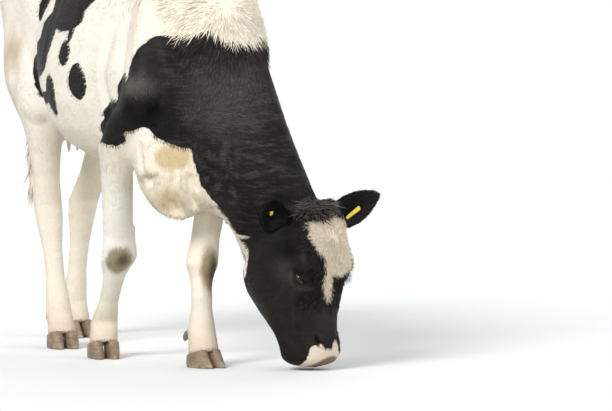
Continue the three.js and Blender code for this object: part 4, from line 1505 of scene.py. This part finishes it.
@dataclass
class Lie:
    """Which way the coat lies."""

    anatomy: Anatomy
    regions: Regions
    whorl: Point = (0.74, 0.06, 1.22)
    face_whorl: Point = (0.11, 0.0, 0.006)
    withers: Line = ((0.42, 0.03, 1.39), (0.5, 0.092, 1.385), (0.644, 0.15, 1.29))
    neck_line: Line = (
        (0.42, 0.03, 1.42),
        (0.644, 0.15, 1.3),
        (0.738, 0.174, 1.09),
        (0.828, 0.234, 0.84),
        (0.888, 0.286, 0.65),
        (0.91, 0.33, 0.5),
    )

    def way(self, points: Array, facing: Array) -> Array:
        """The direction in which hairs point, along the skin.

        Args:
            points: places on the skin.
            facing: where the skin faces there.

        Returns:
            One direction for each place.
        """
        x, _, z = (points - self.anatomy.shift).T
        downwards = np.array([0.0, 0.0, -1.0])
        way = np.tile(np.array([-0.86, 0.0, -0.5]), (len(points), 1))
        way = self.blend(way, smoothstep(facing[:, 2], 0.6, 0.95), np.array([-1.0, 0.0, 0.0]))
        way = self.blend(way, smoothstep(x, -0.5, -0.8), np.array([-0.15, 0.0, -1.0]))
        shoulder = smoothstep(x, 0.25, 0.45) * smoothstep(z, 1.2, 1.0)
        way = self.blend(way, shoulder, np.array([-0.35, 0.0, -0.9]))
        breast = smoothstep(x, 0.5, 0.62) * smoothstep(z, 1.0, 0.85)
        way = self.blend(way, breast, np.array([-0.1, 0.0, -1.0]))
        way = self.blend(way, smoothstep(z, 0.8, 0.62), downwards)
        over = self.from_crest(points)
        way = self.blend(way, self.crest(points), over)
        way = self.blend(way, self.regions.neck(points), over)
        off = points - self.anatomy.at(*self.whorl)
        way = self.blend(way, smoothstep(np.linalg.norm(off, axis=1), 0.40, 0.22), unit(off))
        way = self.blend(way, self.regions.head(points), self.on_face(points))
        way = self.blend(way, *self.over_poll(points))
        for name, _ in SIDES:
            ear = self.regions.ear(name, points)
            way = self.blend(way, ear, self.anatomy.ear_frame(name)[1][0])
        way = self.blend(way, self.regions.tail(points), downwards)
        free = (self.regions.tail(points) * smoothstep(points[:, 2], 0.93, 0.86))[:, None]
        way = way - (1.0 - free) * (way * facing).sum(axis=1, keepdims=True) * facing
        return unit(way)

    def blend(self, way: Array, share: Array, other: Array) -> Array:
        """Turns directions towards others by a share."""
        return way * (1.0 - share[:, None]) + share[:, None] * other

    def crest(self, points: Array) -> Array:
        """How near the withers and the front of the shoulder a place is."""
        return smoothstep(to_path(points, self.anatomy.path(self.withers))[0], 0.42, 0.22)

    def from_crest(self, points: Array) -> Array:
        """Away from the neck's line down both sides, and along it towards the head, except low down."""
        line = self.anatomy.path(self.neck_line)
        share = to_path(points, line)[1]
        down = unit(points - self.along(line, share))
        before, after = np.maximum(share - 0.05, 0.0), np.minimum(share + 0.05, 1.0)
        ahead = unit(self.along(line, after) - self.along(line, before))
        top = smoothstep(points[:, 2], 0.94, 1.06)[:, None]
        middle = smoothstep(points[:, 2], 0.8, 0.98)[:, None]
        return unit(down * (0.9 - 0.5 * top) + ahead * (0.4 * middle - 0.4 + 1.3 * top))

    def over_poll(self, points: Array) -> tuple[Array, Array]:
        """How far a place belongs to the shock of hair, and the way forwards and down over the forehead."""
        share = smoothstep(self.anatomy.poll_gap(points), 0.085, 0.065)
        aside = self.anatomy.in_head(points)[:, 2:] * 4.0 * self.anatomy.left
        return share, unit(aside + 0.75 * self.anatomy.down + 0.75 * self.anatomy.face)

    def along(self, line: Array, share: Array) -> Array:
        """Places at shares of a line's length."""
        steps = np.concatenate([[0.0], np.cumsum(np.linalg.norm(np.diff(line, axis=0), axis=1))])
        return np.stack([np.interp(share * steps[-1], steps, line[:, k]) for k in range(3)], axis=1)

    def on_face(self, points: Array) -> Array:
        """Out from the whorl on the forehead, and back over the cheeks."""
        down, back, _ = self.anatomy.in_head(points).T
        away = unit(points - self.anatomy.on_head(*self.face_whorl))
        cheek = unit(0.55 * self.anatomy.down - 0.8 * self.anatomy.face)
        way = self.blend(away, smoothstep(back, 0.03, 0.12), cheek)
        along = self.anatomy.down - 0.2 * self.anatomy.face
        return self.blend(way, smoothstep(down, 0.36, 0.44), along)


@dataclass
class Cover:
    """How thickly each piece of the coat grows at each place, from 0 upwards."""

    anatomy: Anatomy
    regions: Regions
    crest_line: Line = (
        (0.36, 0.0, 1.40), (0.5, 0.09, 1.38), (0.60, 0.12, 1.24), (0.68, 0.14, 1.12))
    ear_stations: tuple[float, ...] = (0.04, 0.09, 0.13, 0.17, 0.226)
    ear_widths: tuple[float, ...] = (0.040, 0.058, 0.060, 0.046, 0.002)

    def trunk(self, points: Array, side: float) -> Array:
        """One side of the trunk without the udder."""
        regions = self.regions
        parts = (regions.head, regions.neck, regions.legs, regions.tail, regions.ears)
        other = np.maximum.reduce([part(points) for part in parts])
        x, _, z = (points - self.anatomy.shift).T
        udder = smoothstep(x, -0.2, -0.26) * smoothstep(z, 0.70, 0.67)
        middle = self.anatomy.shift[1] + MIDDLE
        return (1.0 - other) * (1.0 - udder) * (side * (points[:, 1] - middle) > 0.0)

    def lower(self, points: Array) -> Array:
        """The breast and the belly."""
        x, _, z = (points - self.anatomy.shift).T
        breast = smoothstep(x, 0.45, 0.55) * smoothstep(z, 0.9, 0.75)
        both = np.maximum(breast, smoothstep(z, 0.75, 0.68) * smoothstep(x, -0.55, -0.4))
        return both * self.trunk(points, 1.0) + both * self.trunk(points, -1.0)

    def neck(self, points: Array) -> Array:
        """The neck."""
        return self.regions.neck(points) * (1.0 - self.regions.ears(points))

    def crest(self, points: Array) -> Array:
        """The longer hair of the withers, hanging over the top of the neck."""
        gap = to_path(points, self.anatomy.path(self.crest_line))[0]
        return smoothstep(gap, 0.26, 0.12) * smoothstep(points[:, 2], 1.03, 1.09)

    def head(self, points: Array) -> Array:
        """The head without the nose and the eyes, thicker towards the muzzle."""
        down, back, _ = self.anatomy.in_head(points).T
        nose = smoothstep(down, 0.475, 0.505) * smoothstep(back, 0.1, 0.06)
        eyes = smoothstep(self.anatomy.eye_gap(points), 0.036, 0.028)
        bare = np.maximum.reduce([nose, smoothstep(down, 0.505, 0.525), eyes])
        thick = 1.0 + 0.6 * smoothstep(down, 0.3, 0.45)
        return self.regions.head(points) * (1.0 - bare) * (1.0 - self.regions.ears(points)) * thick

    def poll(self, points: Array) -> Array:
        """The shock of hair between the ears."""
        down, back, left = self.anatomy.in_head(points).T
        low = smoothstep(down + 0.45 * np.clip(left + 0.03, 0.0, 0.07), 0.028, 0.018)
        near = smoothstep(self.anatomy.poll_gap(points), 0.075, 0.06)
        return near * (1.0 - self.regions.ears(points)) * low * smoothstep(back, 0.062, 0.048)

    def forehead(self, points: Array) -> Array:
        """The forehead between the eyes, down to the bridge of the nose."""
        down, back, left = self.anatomy.in_head(points).T
        front = smoothstep(back, 0.05, 0.03) * smoothstep(np.abs(left), 0.105, 0.09)
        front = front * smoothstep(self.anatomy.eye_gap(points), 0.045, 0.060)
        return front * smoothstep(down, 0.03, 0.05) * smoothstep(down, 0.36, 0.28)

    def ear_rims(self, points: Array) -> Array:
        """The rims of the ears."""
        total = np.zeros(len(points))
        for name, _ in SIDES:
            along, across, _ = self.anatomy.in_ear(name, points).T
            width = np.interp(along, self.ear_stations, self.ear_widths)
            edge = smoothstep(np.abs(across) / width, 0.80, 0.93) * self.regions.ear(name, points)
            total = np.maximum(total, edge * smoothstep(along, 0.03, 0.06))
        return total

    def legs(self, points: Array, names: Iterable[str]) -> Array:
        """Some of the legs, thicker towards the feet."""
        return self.regions.legs(points, names) * (1.0 + 1.2 * smoothstep(points[:, 2], 0.35, 0.1))

    def tail(self, points: Array) -> Array:
        """The tail above its switch."""
        return self.regions.tail(points) * smoothstep(points[:, 2], 0.84, 0.9)

    def switch(self, points: Array) -> Array:
        """The end of the tail."""
        return self.regions.tail(points) * smoothstep(points[:, 2], 0.93, 0.86)


BODY_LOCK = Lock(0.019, 0.0042, 0.0007, 0.0010, spread=0.14, rings=1)
LEG_LOCK = Lock(0.0115, 0.0029, 0.0006, 0.0008, spread=0.14, rings=1, sunk=0.0008)
LOWER_LOCK = Lock(0.018, 0.0036, 0.0008, 0.0012, rings=1)
NECK_LOCK = Lock(0.021, 0.0034, 0.0007, 0.0012, spread=0.11, uneven=0.12, rings=1)
HEAD_LOCK = Lock(0.011, 0.0024, 0.0005, 0.0008, spread=0.14, rings=1, sunk=0.0008)
EAR_LOCK = Lock(0.014, 0.0024, 0.0006, 0.0016, spread=0.2, rings=1)
TAIL_LOCK = Lock(0.03, 0.005, 0.001, 0.002)
CREST_LOCK = Lock(0.050, 0.0040, 0.0012, 0.006, wave=0.14, spread=0.2, rings=3)
POLL_LOCK = Lock(0.040, 0.0070, 0.0030, 0.011, wave=0.55, spread=0.40, rings=5, round=0.8, uneven=0.2)
FOREHEAD_LOCK = Lock(0.024, 0.0030, 0.0012, 0.0045, wave=0.35, spread=0.30, rings=3, round=0.6, uneven=0.2)
RIM_LOCK = Lock(0.011, 0.0018, 0.0007, 0.0030, wave=0.15, spread=0.25)
SWITCH_LOCK = Lock(0.13, 0.005, 0.0016, 0.004, wave=0.08, spread=0.05, rings=3, round=1.0)


@dataclass
class Coat:
    """The hair over the skin, in pieces of many small tufts."""

    anatomy: Anatomy
    regions: Regions
    finishes: Finishes

    def parts(self) -> tuple[CoatPart, ...]:
        """The pieces of the coat."""
        cover = Cover(self.anatomy, self.regions)
        return (
            CoatPart("coat_trunk_left", partial(cover.trunk, side=1.0), 44_000, BODY_LOCK, 11),
            CoatPart("coat_trunk_right", partial(cover.trunk, side=-1.0), 44_000, BODY_LOCK, 12),
            CoatPart("coat_lower", cover.lower, 12_000, LOWER_LOCK, 13),
            CoatPart("coat_neck", cover.neck, 44_000, NECK_LOCK, 14, contrast=0.2),
            CoatPart("coat_head", cover.head, 40_000, HEAD_LOCK, 15),
            CoatPart("coat_crest", cover.crest, 8_000, CREST_LOCK, 16, contrast=0.14),
            CoatPart("coat_poll", cover.poll, 1_600, POLL_LOCK, 17, contrast=0.7),
            CoatPart("coat_forehead", cover.forehead, 7_500, FOREHEAD_LOCK, 23, contrast=0.5),
            CoatPart("coat_ear_rims", cover.ear_rims, 2_600, RIM_LOCK, 24, contrast=0.2),
            CoatPart("coat_forelegs", partial(cover.legs, names=FORELEGS), 36_000, LEG_LOCK, 18),
            CoatPart("coat_hindlegs", partial(cover.legs, names=HINDLEGS), 36_000, LEG_LOCK, 19),
            CoatPart("coat_ears", self.regions.ears, 12_000, EAR_LOCK, 20),
            CoatPart("coat_tail", cover.tail, 1_200, TAIL_LOCK, 21),
            CoatPart("coat_switch", cover.switch, 1_800, SWITCH_LOCK, 22, contrast=0.05),
        )

    def tuft_rings(self, lock: Lock) -> tuple[Array, Array]:
        """Where a tuft's rings lie along it, from 0 at its root to 1 at its tip, and how wide they are."""
        share = np.linspace(0.0, 1.0, lock.rings + 1)
        width = np.where(share < 0.01, 0.7 if lock.rings > 1 else 1.0, (1.0 - share) ** 0.55)
        return share[:-1], width[:-1]

    def mesh(self, part: CoatPart, ground: Ground, lie: Lie) -> Mesh:
        """All the tufts of a piece as one mesh of closed, tapered locks."""
        chance = np.random.default_rng(part.seed)
        root, up = ground.scatter(part.where, part.count, chance)
        ahead = lie.way(root, up)
        up = unit(up - (up * ahead).sum(axis=1, keepdims=True) * ahead + 1e-6)
        return self.grow(part.name, part.lock, root, up, ahead, chance)

    def grow(self, name: str, lock: Lock, root: Array, up: Array, ahead: Array,
             chance: np.random.Generator) -> Mesh:
        """Grows one tuft at each root.

        Args:
            name: the mesh's name.
            lock: the tufts' shape.
            root: where they grow.
            up: away from the skin there.
            ahead: the way they lie.
            chance: the random numbers.

        Returns:
            The mesh.
        """
        count = len(root)
        turn = chance.normal(0.0, lock.spread, count)[:, None]
        aside = np.cross(up, ahead)
        ahead = ahead * np.cos(turn) + aside * np.sin(turn)
        aside = np.cross(up, ahead)
        length = lock.length * chance.uniform(0.7, 1.25, count)[:, None]
        width = lock.width * chance.uniform(0.7, 1.3, count)[:, None]
        lift = lock.lift * chance.uniform(0.2, 1.3, count)[:, None]
        bend = lock.wave * chance.normal(0.0, 1.0, count)[:, None]
        phase = chance.uniform(0.0, 2.0 * math.pi, count)[:, None]
        shares, widths = self.tuft_rings(lock)
        rows: list[Array] = []

        def spine(share: float) -> Array:
            """The middle of a tuft at a share of its length."""
            sway = bend * share * share + 0.35 * lock.wave * np.sin(phase + 5.0 * share) * share
            rise = -lock.sunk + (lift + lock.sunk) * share ** 1.3
            return root + ahead * (length * share) + aside * (length * sway) + up * rise

        for share, wide in zip(shares, widths):
            middle = spine(float(share))
            half = aside * (width * wide / 2.0)
            rows += [middle - half, middle + half, middle + up * (lock.thick * (0.5 + wide))]
        rows.append(spine(1.0))
        points = np.stack(rows, axis=1)
        faces, strand = self.tuft_faces(lock)
        mesh = self.assemble(name, points, faces, strand, root, chance)
        across = (strand[:, 0] - 0.5)[None, :, None] * 2.0 * lock.round
        along = 0.2 * strand[:, 1, None] ** 2
        lean = chance.normal(0.0, lock.uneven, (2, count, 1, 1))
        soft = up[:, None] + aside[:, None] * (across + lean[0]) + ahead[:, None] * (along + lean[1])
        mesh.normals_split_custom_set_from_vertices(unit(soft.reshape(-1, 3)).astype(np.float32))
        return mesh

    def tuft_faces(self, lock: Lock) -> tuple[Array, Array]:
        """One tuft's triangles, and each of its points' place across and along it."""
        faces = [(2, 1, 0)]
        for ring in range(lock.rings - 1):
            for k in range(3):
                a, b = 3 * ring + k, 3 * ring + (k + 1) % 3
                faces += [(b + 3, a + 3, a), (b, b + 3, a)]
        tip, last = 3 * lock.rings, 3 * (lock.rings - 1)
        faces += [(last + (k + 1) % 3, tip, last + k) for k in range(3)]
        strand = [(u, ring / lock.rings) for ring in range(lock.rings) for u in (0.0, 1.0, 0.5)]
        return np.array(faces), np.array(strand + [(0.5, 1.0)])

    def assemble(self, name: str, points: Array, faces: Array, strand: Array, root: Array,
                 chance: np.random.Generator) -> Mesh:
        """Joins tufts of one kind into a mesh with its maps and attributes.

        Args:
            name: the mesh's name.
            points: each tuft's points.
            faces: one tuft's triangles.
            strand: the place of each point across and along its tuft.
            root: where each tuft grows.
            chance: the random numbers.

        Returns:
            The mesh.
        """
        count, size = points.shape[:2]
        corners = (faces[None] + np.arange(count)[:, None, None] * size).reshape(-1, 3)
        mesh = bpy.data.meshes.new(name)
        mesh.vertices.add(count * size)
        mesh.vertices.foreach_set("co", points.astype(np.float32).ravel())
        mesh.loops.add(corners.size)
        mesh.loops.foreach_set("vertex_index", corners.astype(np.int32).ravel())
        mesh.polygons.add(len(corners))
        mesh.polygons.foreach_set("loop_start", np.arange(0, corners.size, 3, dtype=np.int32))
        mesh.polygons.foreach_set("use_smooth", np.ones(len(corners), bool))
        mesh.update(calc_edges=True)
        number = corners.ravel()
        tuft, point = number // size, number % size
        offset = chance.random((count, 2)) * 40.0
        along = np.stack([strand[point, 0] + offset[tuft, 0], strand[point, 1] + offset[tuft, 1]], axis=1)
        mesh.uv_layers.new(name="Strand").uv.foreach_set("vector", along.astype(np.float32).ravel())
        patch = self.unwrap(root)[tuft] + (strand[point] - 0.5) * 0.003
        mesh.uv_layers.new(name="OFBake").uv.foreach_set("vector", patch.astype(np.float32).ravel())
        place = mesh.attributes.new("root", "FLOAT_VECTOR", "POINT")
        place.data.foreach_set("vector", np.repeat(root, size, axis=0).astype(np.float32).ravel())
        shade = mesh.attributes.new("shade", "FLOAT", "POINT")
        shade.data.foreach_set("value", np.repeat(chance.random(count), size).astype(np.float32))
        return mesh

    def unwrap(self, root: Array) -> Array:
        """Each root's place on the skin unrolled about its own long axis, in a square from 0 to 1."""
        middle = root.mean(axis=0)
        off = root - middle
        ways = np.linalg.eigh(np.cov(off.T))[1]
        long, side, deep = off @ ways[:, 2], off @ ways[:, 1], off @ ways[:, 0]
        angle = np.arctan2(deep, side) / (2.0 * math.pi) + 0.5
        span = (long - long.min()) / (long.max() - long.min())
        return 0.01 + 0.98 * np.stack([angle, span], axis=1)

    def build(self, skin: Object) -> None:
        """Grows every piece of the coat."""
        ground = Ground(skin)
        lie = Lie(self.anatomy, self.regions)
        for part in self.parts():
            thing = new_object(part.name, self.mesh(part, ground, lie))
            dress(thing, self.finishes.coat(part.name, part.contrast), "coat_white")


# ---- Eyes, claws and tags ----


def put(name: str, work: BMesh, material: Material, slot: str, *nodes: str) -> None:
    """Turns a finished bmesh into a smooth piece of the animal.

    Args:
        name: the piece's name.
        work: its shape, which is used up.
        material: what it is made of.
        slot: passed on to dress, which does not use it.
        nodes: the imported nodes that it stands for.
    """
    for face in work.faces:
        face.smooth = True
    dress(new_object(name, as_mesh(name, work)), material, slot, *nodes)


@dataclass
class Eyes:
    """The eyeballs and the lashes."""

    anatomy: Anatomy
    features: Features
    coat: Coat
    finishes: Finishes

    def ball(self, name: str, side: float, material: Material) -> None:
        """One eyeball, with the clear front standing out a little."""
        ways = self.features.eye_ways(side)
        mesh = bmesh.new()
        bmesh.ops.create_uvsphere(mesh, u_segments=40, v_segments=28, radius=1.0)
        gaze = mesh.verts.layers.float_vector.new("gaze")
        for vertex in mesh.verts:
            vertex[gaze] = vertex.co.copy()
            front = max(0.0, (vertex.co.z - 0.78) / 0.22)
            vertex.co *= 1.0 + 0.05 * front * front
        turn = Matrix(ways.T.tolist()).to_4x4()
        place = Matrix.Translation(Vector(self.anatomy.eye(side))) @ turn
        place = place @ Matrix.Scale(self.anatomy.eye_radius, 4)
        bmesh.ops.transform(mesh, matrix=place, verts=mesh.verts)
        bmesh.ops.recalc_face_normals(mesh, faces=mesh.faces)
        put("eyeball_" + name, mesh, material, "eye", "eye_" + name)

    def lashes(self, name: str, side: float, upper: bool) -> None:
        """The lashes of one lid: long and drooping on the upper one, short on the lower one."""
        chance = np.random.default_rng(40 + int(side) + 4 * upper)
        along, over, out = self.features.eye_ways(side)
        count = 54 if upper else 26
        u = np.linspace(-0.92, 0.92, count) * self.features.half_slit + chance.normal(0.0, 0.0004, count)
        arch = 1.0 - (u / self.features.half_slit) ** 2
        edge = self.features.upper_gape + 0.0008 if upper else -self.features.lower_gape - 0.0006
        v = edge * arch + (0.0012 if upper else -0.0010)
        radius = self.features.lid + 0.0006
        w = np.sqrt(np.maximum(radius**2 - u**2 - v**2, 0.0))
        up = unit(u[:, None] * along + v[:, None] * over + w[:, None] * out)
        root = self.anatomy.eye(side) + up * radius
        droop = -0.55 if upper else -0.75
        ahead = unit(droop * over + 0.75 * up + (u / self.features.half_slit * 0.5)[:, None] * along)
        lock = Lock(0.021 if upper else 0.010, 0.0009, 0.0006, 0.004, 0.08, 0.10, 3, 0.5)
        lift = unit(np.cross(np.cross(ahead, up), ahead))
        title = f"lashes_{'upper' if upper else 'lower'}_{name}"
        mesh = self.coat.grow(title, lock, root, lift, ahead, chance)
        dress(new_object(title, mesh), self.finishes.coat(title, 0.5), "coat_black")

    def build(self) -> None:
        """Both eyes."""
        material = self.finishes.eyeball()
        for name, side in SIDES:
            self.ball(name, side, material)
            self.lashes(name, side, True)
            self.lashes(name, side, False)


@dataclass
class Claws:
    """The claws and dewclaws: ringed horn, with flat soles on the floor."""

    finishes: Finishes
    grid: float = 0.0022
    ring: float = 0.0065
    ring_depth: float = 0.00045
    sole: float = 0.0022

    def build(self) -> None:
        """All sixteen in one piece."""
        nodes = [name for name in frame["nodes"] if "claw" in name]
        whole = bmesh.new()
        for name in nodes:
            whole.from_mesh(frame["nodes"][name].data)
        bmesh.ops.remove_doubles(whole, verts=whole.verts, dist=1e-5)
        rough = new_object("rough", as_mesh("claws", whole))
        thing = with_modifier(rough, "REMESH", mode="VOXEL", voxel_size=self.grid, adaptivity=0.0)
        points, ends = places(thing.data), edge_ends(thing.data)
        even = np.ones(len(points))
        smooth = relax(points, ends, even, 14)
        points = smooth + relax(points - smooth, ends, even, 8)
        put_places(thing.data, points)
        wall = 1.0 - smoothstep(-normals(thing.data)[:, 2], 0.5, 0.8)
        height = points[:, 2] + 0.12 * points[:, 0] + 0.0015 * ripple(points, 0.02, 3)
        rings = np.sin(2.0 * math.pi * height / self.ring) * self.ring_depth * wall
        points += normals(thing.data) * rings[:, None]
        pressed = np.minimum(points[:, 2], 0.0004).clip(0.0)
        points[:, 2] = np.where(points[:, 2] < self.sole, pressed, points[:, 2])
        put_places(thing.data, points)
        mesh = as_bmesh(thing.data)
        dissolve(thing)
        put("claws", mesh, self.finishes.horn(), "hoof_horn", *nodes)


@dataclass(frozen=True)
class TagPlate:
    """A tag's plate: its place along, across and in front of the ear, its length, width and turn."""

    place: Point
    length: float
    width: float
    turn: float


@dataclass
class Tags:
    """The plain ear tags: a plate in front of the ear, a pin through it and a button behind."""

    anatomy: Anatomy
    finishes: Finishes
    thick: float = 0.003
    pin: float = 0.0035
    button: float = 0.0095
    taper: float = 0.72
    corner: float = 0.0045
    edge: float = 0.0007
    plates: dict[str, TagPlate] = field(
        default_factory=lambda: {
            "left": TagPlate((0.119, -0.027, -0.010), 0.062, 0.017, 0.28),
            "right": TagPlate((0.098, -0.006, -0.012), 0.020, 0.015, 0.4),
        }
    )

    def is_level(self, edge: bmesh.types.BMEdge) -> bool:
        """Whether an edge lies flat."""
        return abs(edge.verts[0].co.z - edge.verts[1].co.z) < FLAT

    def soften(self, mesh: BMesh, edges: list[bmesh.types.BMEdge], offset: float,
               segments: int) -> list[bmesh.types.BMVert]:
        """Rounds some edges off, and gives the new points."""
        return bmesh.ops.bevel(mesh, geom=edges, offset=offset, offset_type="OFFSET", affect="EDGES",
                               segments=segments, profile=0.5, material=-1)["verts"]

    def disc(self, mesh: BMesh, radius: float, depth: float, height: float) -> None:
        """A round of plastic with softened edges, at a height over the plate."""
        made = bmesh.ops.create_cone(mesh, cap_ends=True, segments=28, radius1=radius, radius2=radius,
                                     depth=depth)["verts"]
        rims = dict.fromkeys(edge for vertex in made for edge in vertex.link_edges if self.is_level(edge))
        soft = self.soften(mesh, list(rims), min(0.001, depth * 0.3), 3)
        verts = list(dict.fromkeys([vertex for vertex in made if vertex.is_valid] + soft))
        bmesh.ops.translate(mesh, verts=verts, vec=(0.0, 0.0, height))

    def build_one(self, name: str, material: Material) -> None:
        """One ear's tag."""
        plate = self.plates[name]
        mesh = bmesh.new()
        made = bmesh.ops.create_cube(mesh, size=1.0)["verts"]
        bmesh.ops.scale(mesh, vec=(plate.length, plate.width, self.thick), verts=made)
        for vertex in made:
            if vertex.co.x < 0.0:
                vertex.co.y *= self.taper
        self.soften(mesh, [edge for edge in mesh.edges if not self.is_level(edge)], self.corner, 5)
        self.soften(mesh, [edge for edge in mesh.edges if self.is_level(edge)], self.edge, 2)
        self.disc(mesh, 0.0058, 0.0016, self.thick * 0.5 + 0.0006)
        self.disc(mesh, self.pin, 0.030, -0.0145)
        self.disc(mesh, self.button, 0.0028, -0.0275)
        root, ways = self.anatomy.ear_frame(name)
        place = Matrix.Translation(Vector(root)) @ Matrix(ways.T.tolist()).to_4x4()
        place = place @ Matrix.Translation(plate.place) @ Matrix.Rotation(plate.turn, 4, "Z")
        bmesh.ops.transform(mesh, matrix=place, verts=mesh.verts)
        bmesh.ops.recalc_face_normals(mesh, faces=mesh.faces)
        put("tag_" + name, mesh, material, "tag", "ear_tag_" + name)

    def build(self) -> None:
        """Both tags."""
        material = self.finishes.plastic()
        for name, _ in SIDES:
            self.build_one(name, material)


# ---- Studio ----


@dataclass
class Studio:
    """The floor, the lights and the camera."""

    anatomy: Anatomy
    azimuth: float = 66.0
    elevation: float = 3.19
    camera_place: Point = (18.128, -7.388, 1.6)
    lens: float = 335.3
    sensor: float = 36.0

    def camera(self) -> None:
        """A long lens from the animal's right front."""
        data = bpy.data.cameras.new("camera")
        data.lens = self.lens
        data.sensor_width = self.sensor
        data.sensor_fit = "HORIZONTAL"
        data.clip_end = 200.0
        thing = bpy.data.objects.new("camera", data)
        turn, tilt = math.radians(self.azimuth), math.radians(self.elevation)
        back = Vector((math.sin(turn) * math.cos(tilt), -math.cos(turn) * math.cos(tilt), math.sin(tilt)))
        right = Vector((math.cos(turn), math.sin(turn), 0.0))
        up = back.cross(right)
        place = Matrix.Translation(Vector(self.anatomy.at(*self.camera_place)))
        thing.matrix_world = place @ Matrix((right, up, back)).transposed().to_4x4()
        bpy.context.scene.collection.objects.link(thing)
        bpy.context.scene.camera = thing

    def lamp(self, name: str, place: Point, spread: float, power: float) -> None:
        """A wide, soft lamp far away, whose light falls evenly on the animal and the floor.

        Args:
            name: the lamp's name.
            place: where the light comes from.
            spread: how wide the lamp looks from the animal, in degrees.
            power: how bright it is.
        """
        data = bpy.data.lights.new(name, "SUN")
        data.angle = math.radians(spread)
        data.energy = power
        thing = bpy.data.objects.new(name, data)
        thing.location = place
        thing.rotation_euler = (-Vector(place)).to_track_quat("-Z", "Y").to_euler()
        bpy.context.scene.collection.objects.link(thing)

    def seen(self, wires: Wires) -> Socket:
        """1 for what the camera sees, straight or mirrored, and 0 for the light that falls on the animal."""
        rays = wires.node("LightPath").outputs
        either = wires.math("MAXIMUM", rays["Is Camera Ray"], rays["Is Glossy Ray"])
        return wires.math("MAXIMUM", either, rays["Is Transmission Ray"])

    def world(self) -> None:
        """Even light from all sides, pale to the camera and in reflections."""
        world = bpy.data.worlds.new("studio")
        bpy.context.scene.world = world
        world.use_nodes = True
        world.node_tree.nodes.clear()
        wires = Wires(world.node_tree)
        light = wires.feed(wires.node("Background"), {"Color": (0.95, 0.97, 1.0), "Strength": 0.55})
        backdrop = wires.feed(wires.node("Background"), {"Color": (1.0, 1.0, 1.0)})
        values = {0: self.seen(wires), 1: light.outputs[0], 2: backdrop.outputs[0]}
        mix = wires.feed(wires.node("MixShader"), values)
        wires.feed(wires.node("OutputWorld"), {"Surface": mix.outputs[0]})

    def floor(self) -> None:
        """A wide pale floor."""
        work = bmesh.new()
        bmesh.ops.create_circle(work, cap_ends=True, segments=96, radius=60.0)
        mesh = as_mesh("floor", work)
        material, wires, shader = new_material("floor")
        colour = wires.mix(self.seen(wires), (0.62, 0.62, 0.58), (0.80, 0.81, 0.80))
        wires.feed(shader, {"Base Color": colour, "Roughness": 0.95, "Specular IOR Level": 0.0})
        mesh.materials.append(material)
        new_object("floor", mesh)

    def build(self) -> None:
        """Sets up the whole studio."""
        bpy.context.scene.view_settings.view_transform = "Standard"
        self.camera()
        self.world()
        self.floor()
        self.lamp("key", (4.2, -6.4, 5.2), 24.0, 2.5)
        self.lamp("fill", (6.5, 0.5, 1.8), 50.0, 0.8)
        self.lamp("front", (4.0, 5.5, 3.0), 50.0, 0.9)
        self.lamp("back", (-6.0, 4.0, 6.0), 40.0, 0.6)


# ---- Main ----


def main() -> None:
    """Builds the heifer and her studio."""
    logging.basicConfig(level=logging.INFO, format="%(message)s")
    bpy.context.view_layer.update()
    anatomy = Anatomy()
    regions = Regions(anatomy)
    Studio(anatomy).build()
    skin = Skin(anatomy, regions).build()
    finishes = Finishes(anatomy)
    skin.data.materials.clear()
    dress(skin, finishes.skin(), "coat_white", *FLESH)
    coat = Coat(anatomy, regions, finishes)
    coat.build(skin)
    Eyes(anatomy, Features(anatomy, regions), coat, finishes).build()
    Claws(finishes).build()
    Tags(anatomy, finishes).build()


if __name__ == "__main__":
    main()
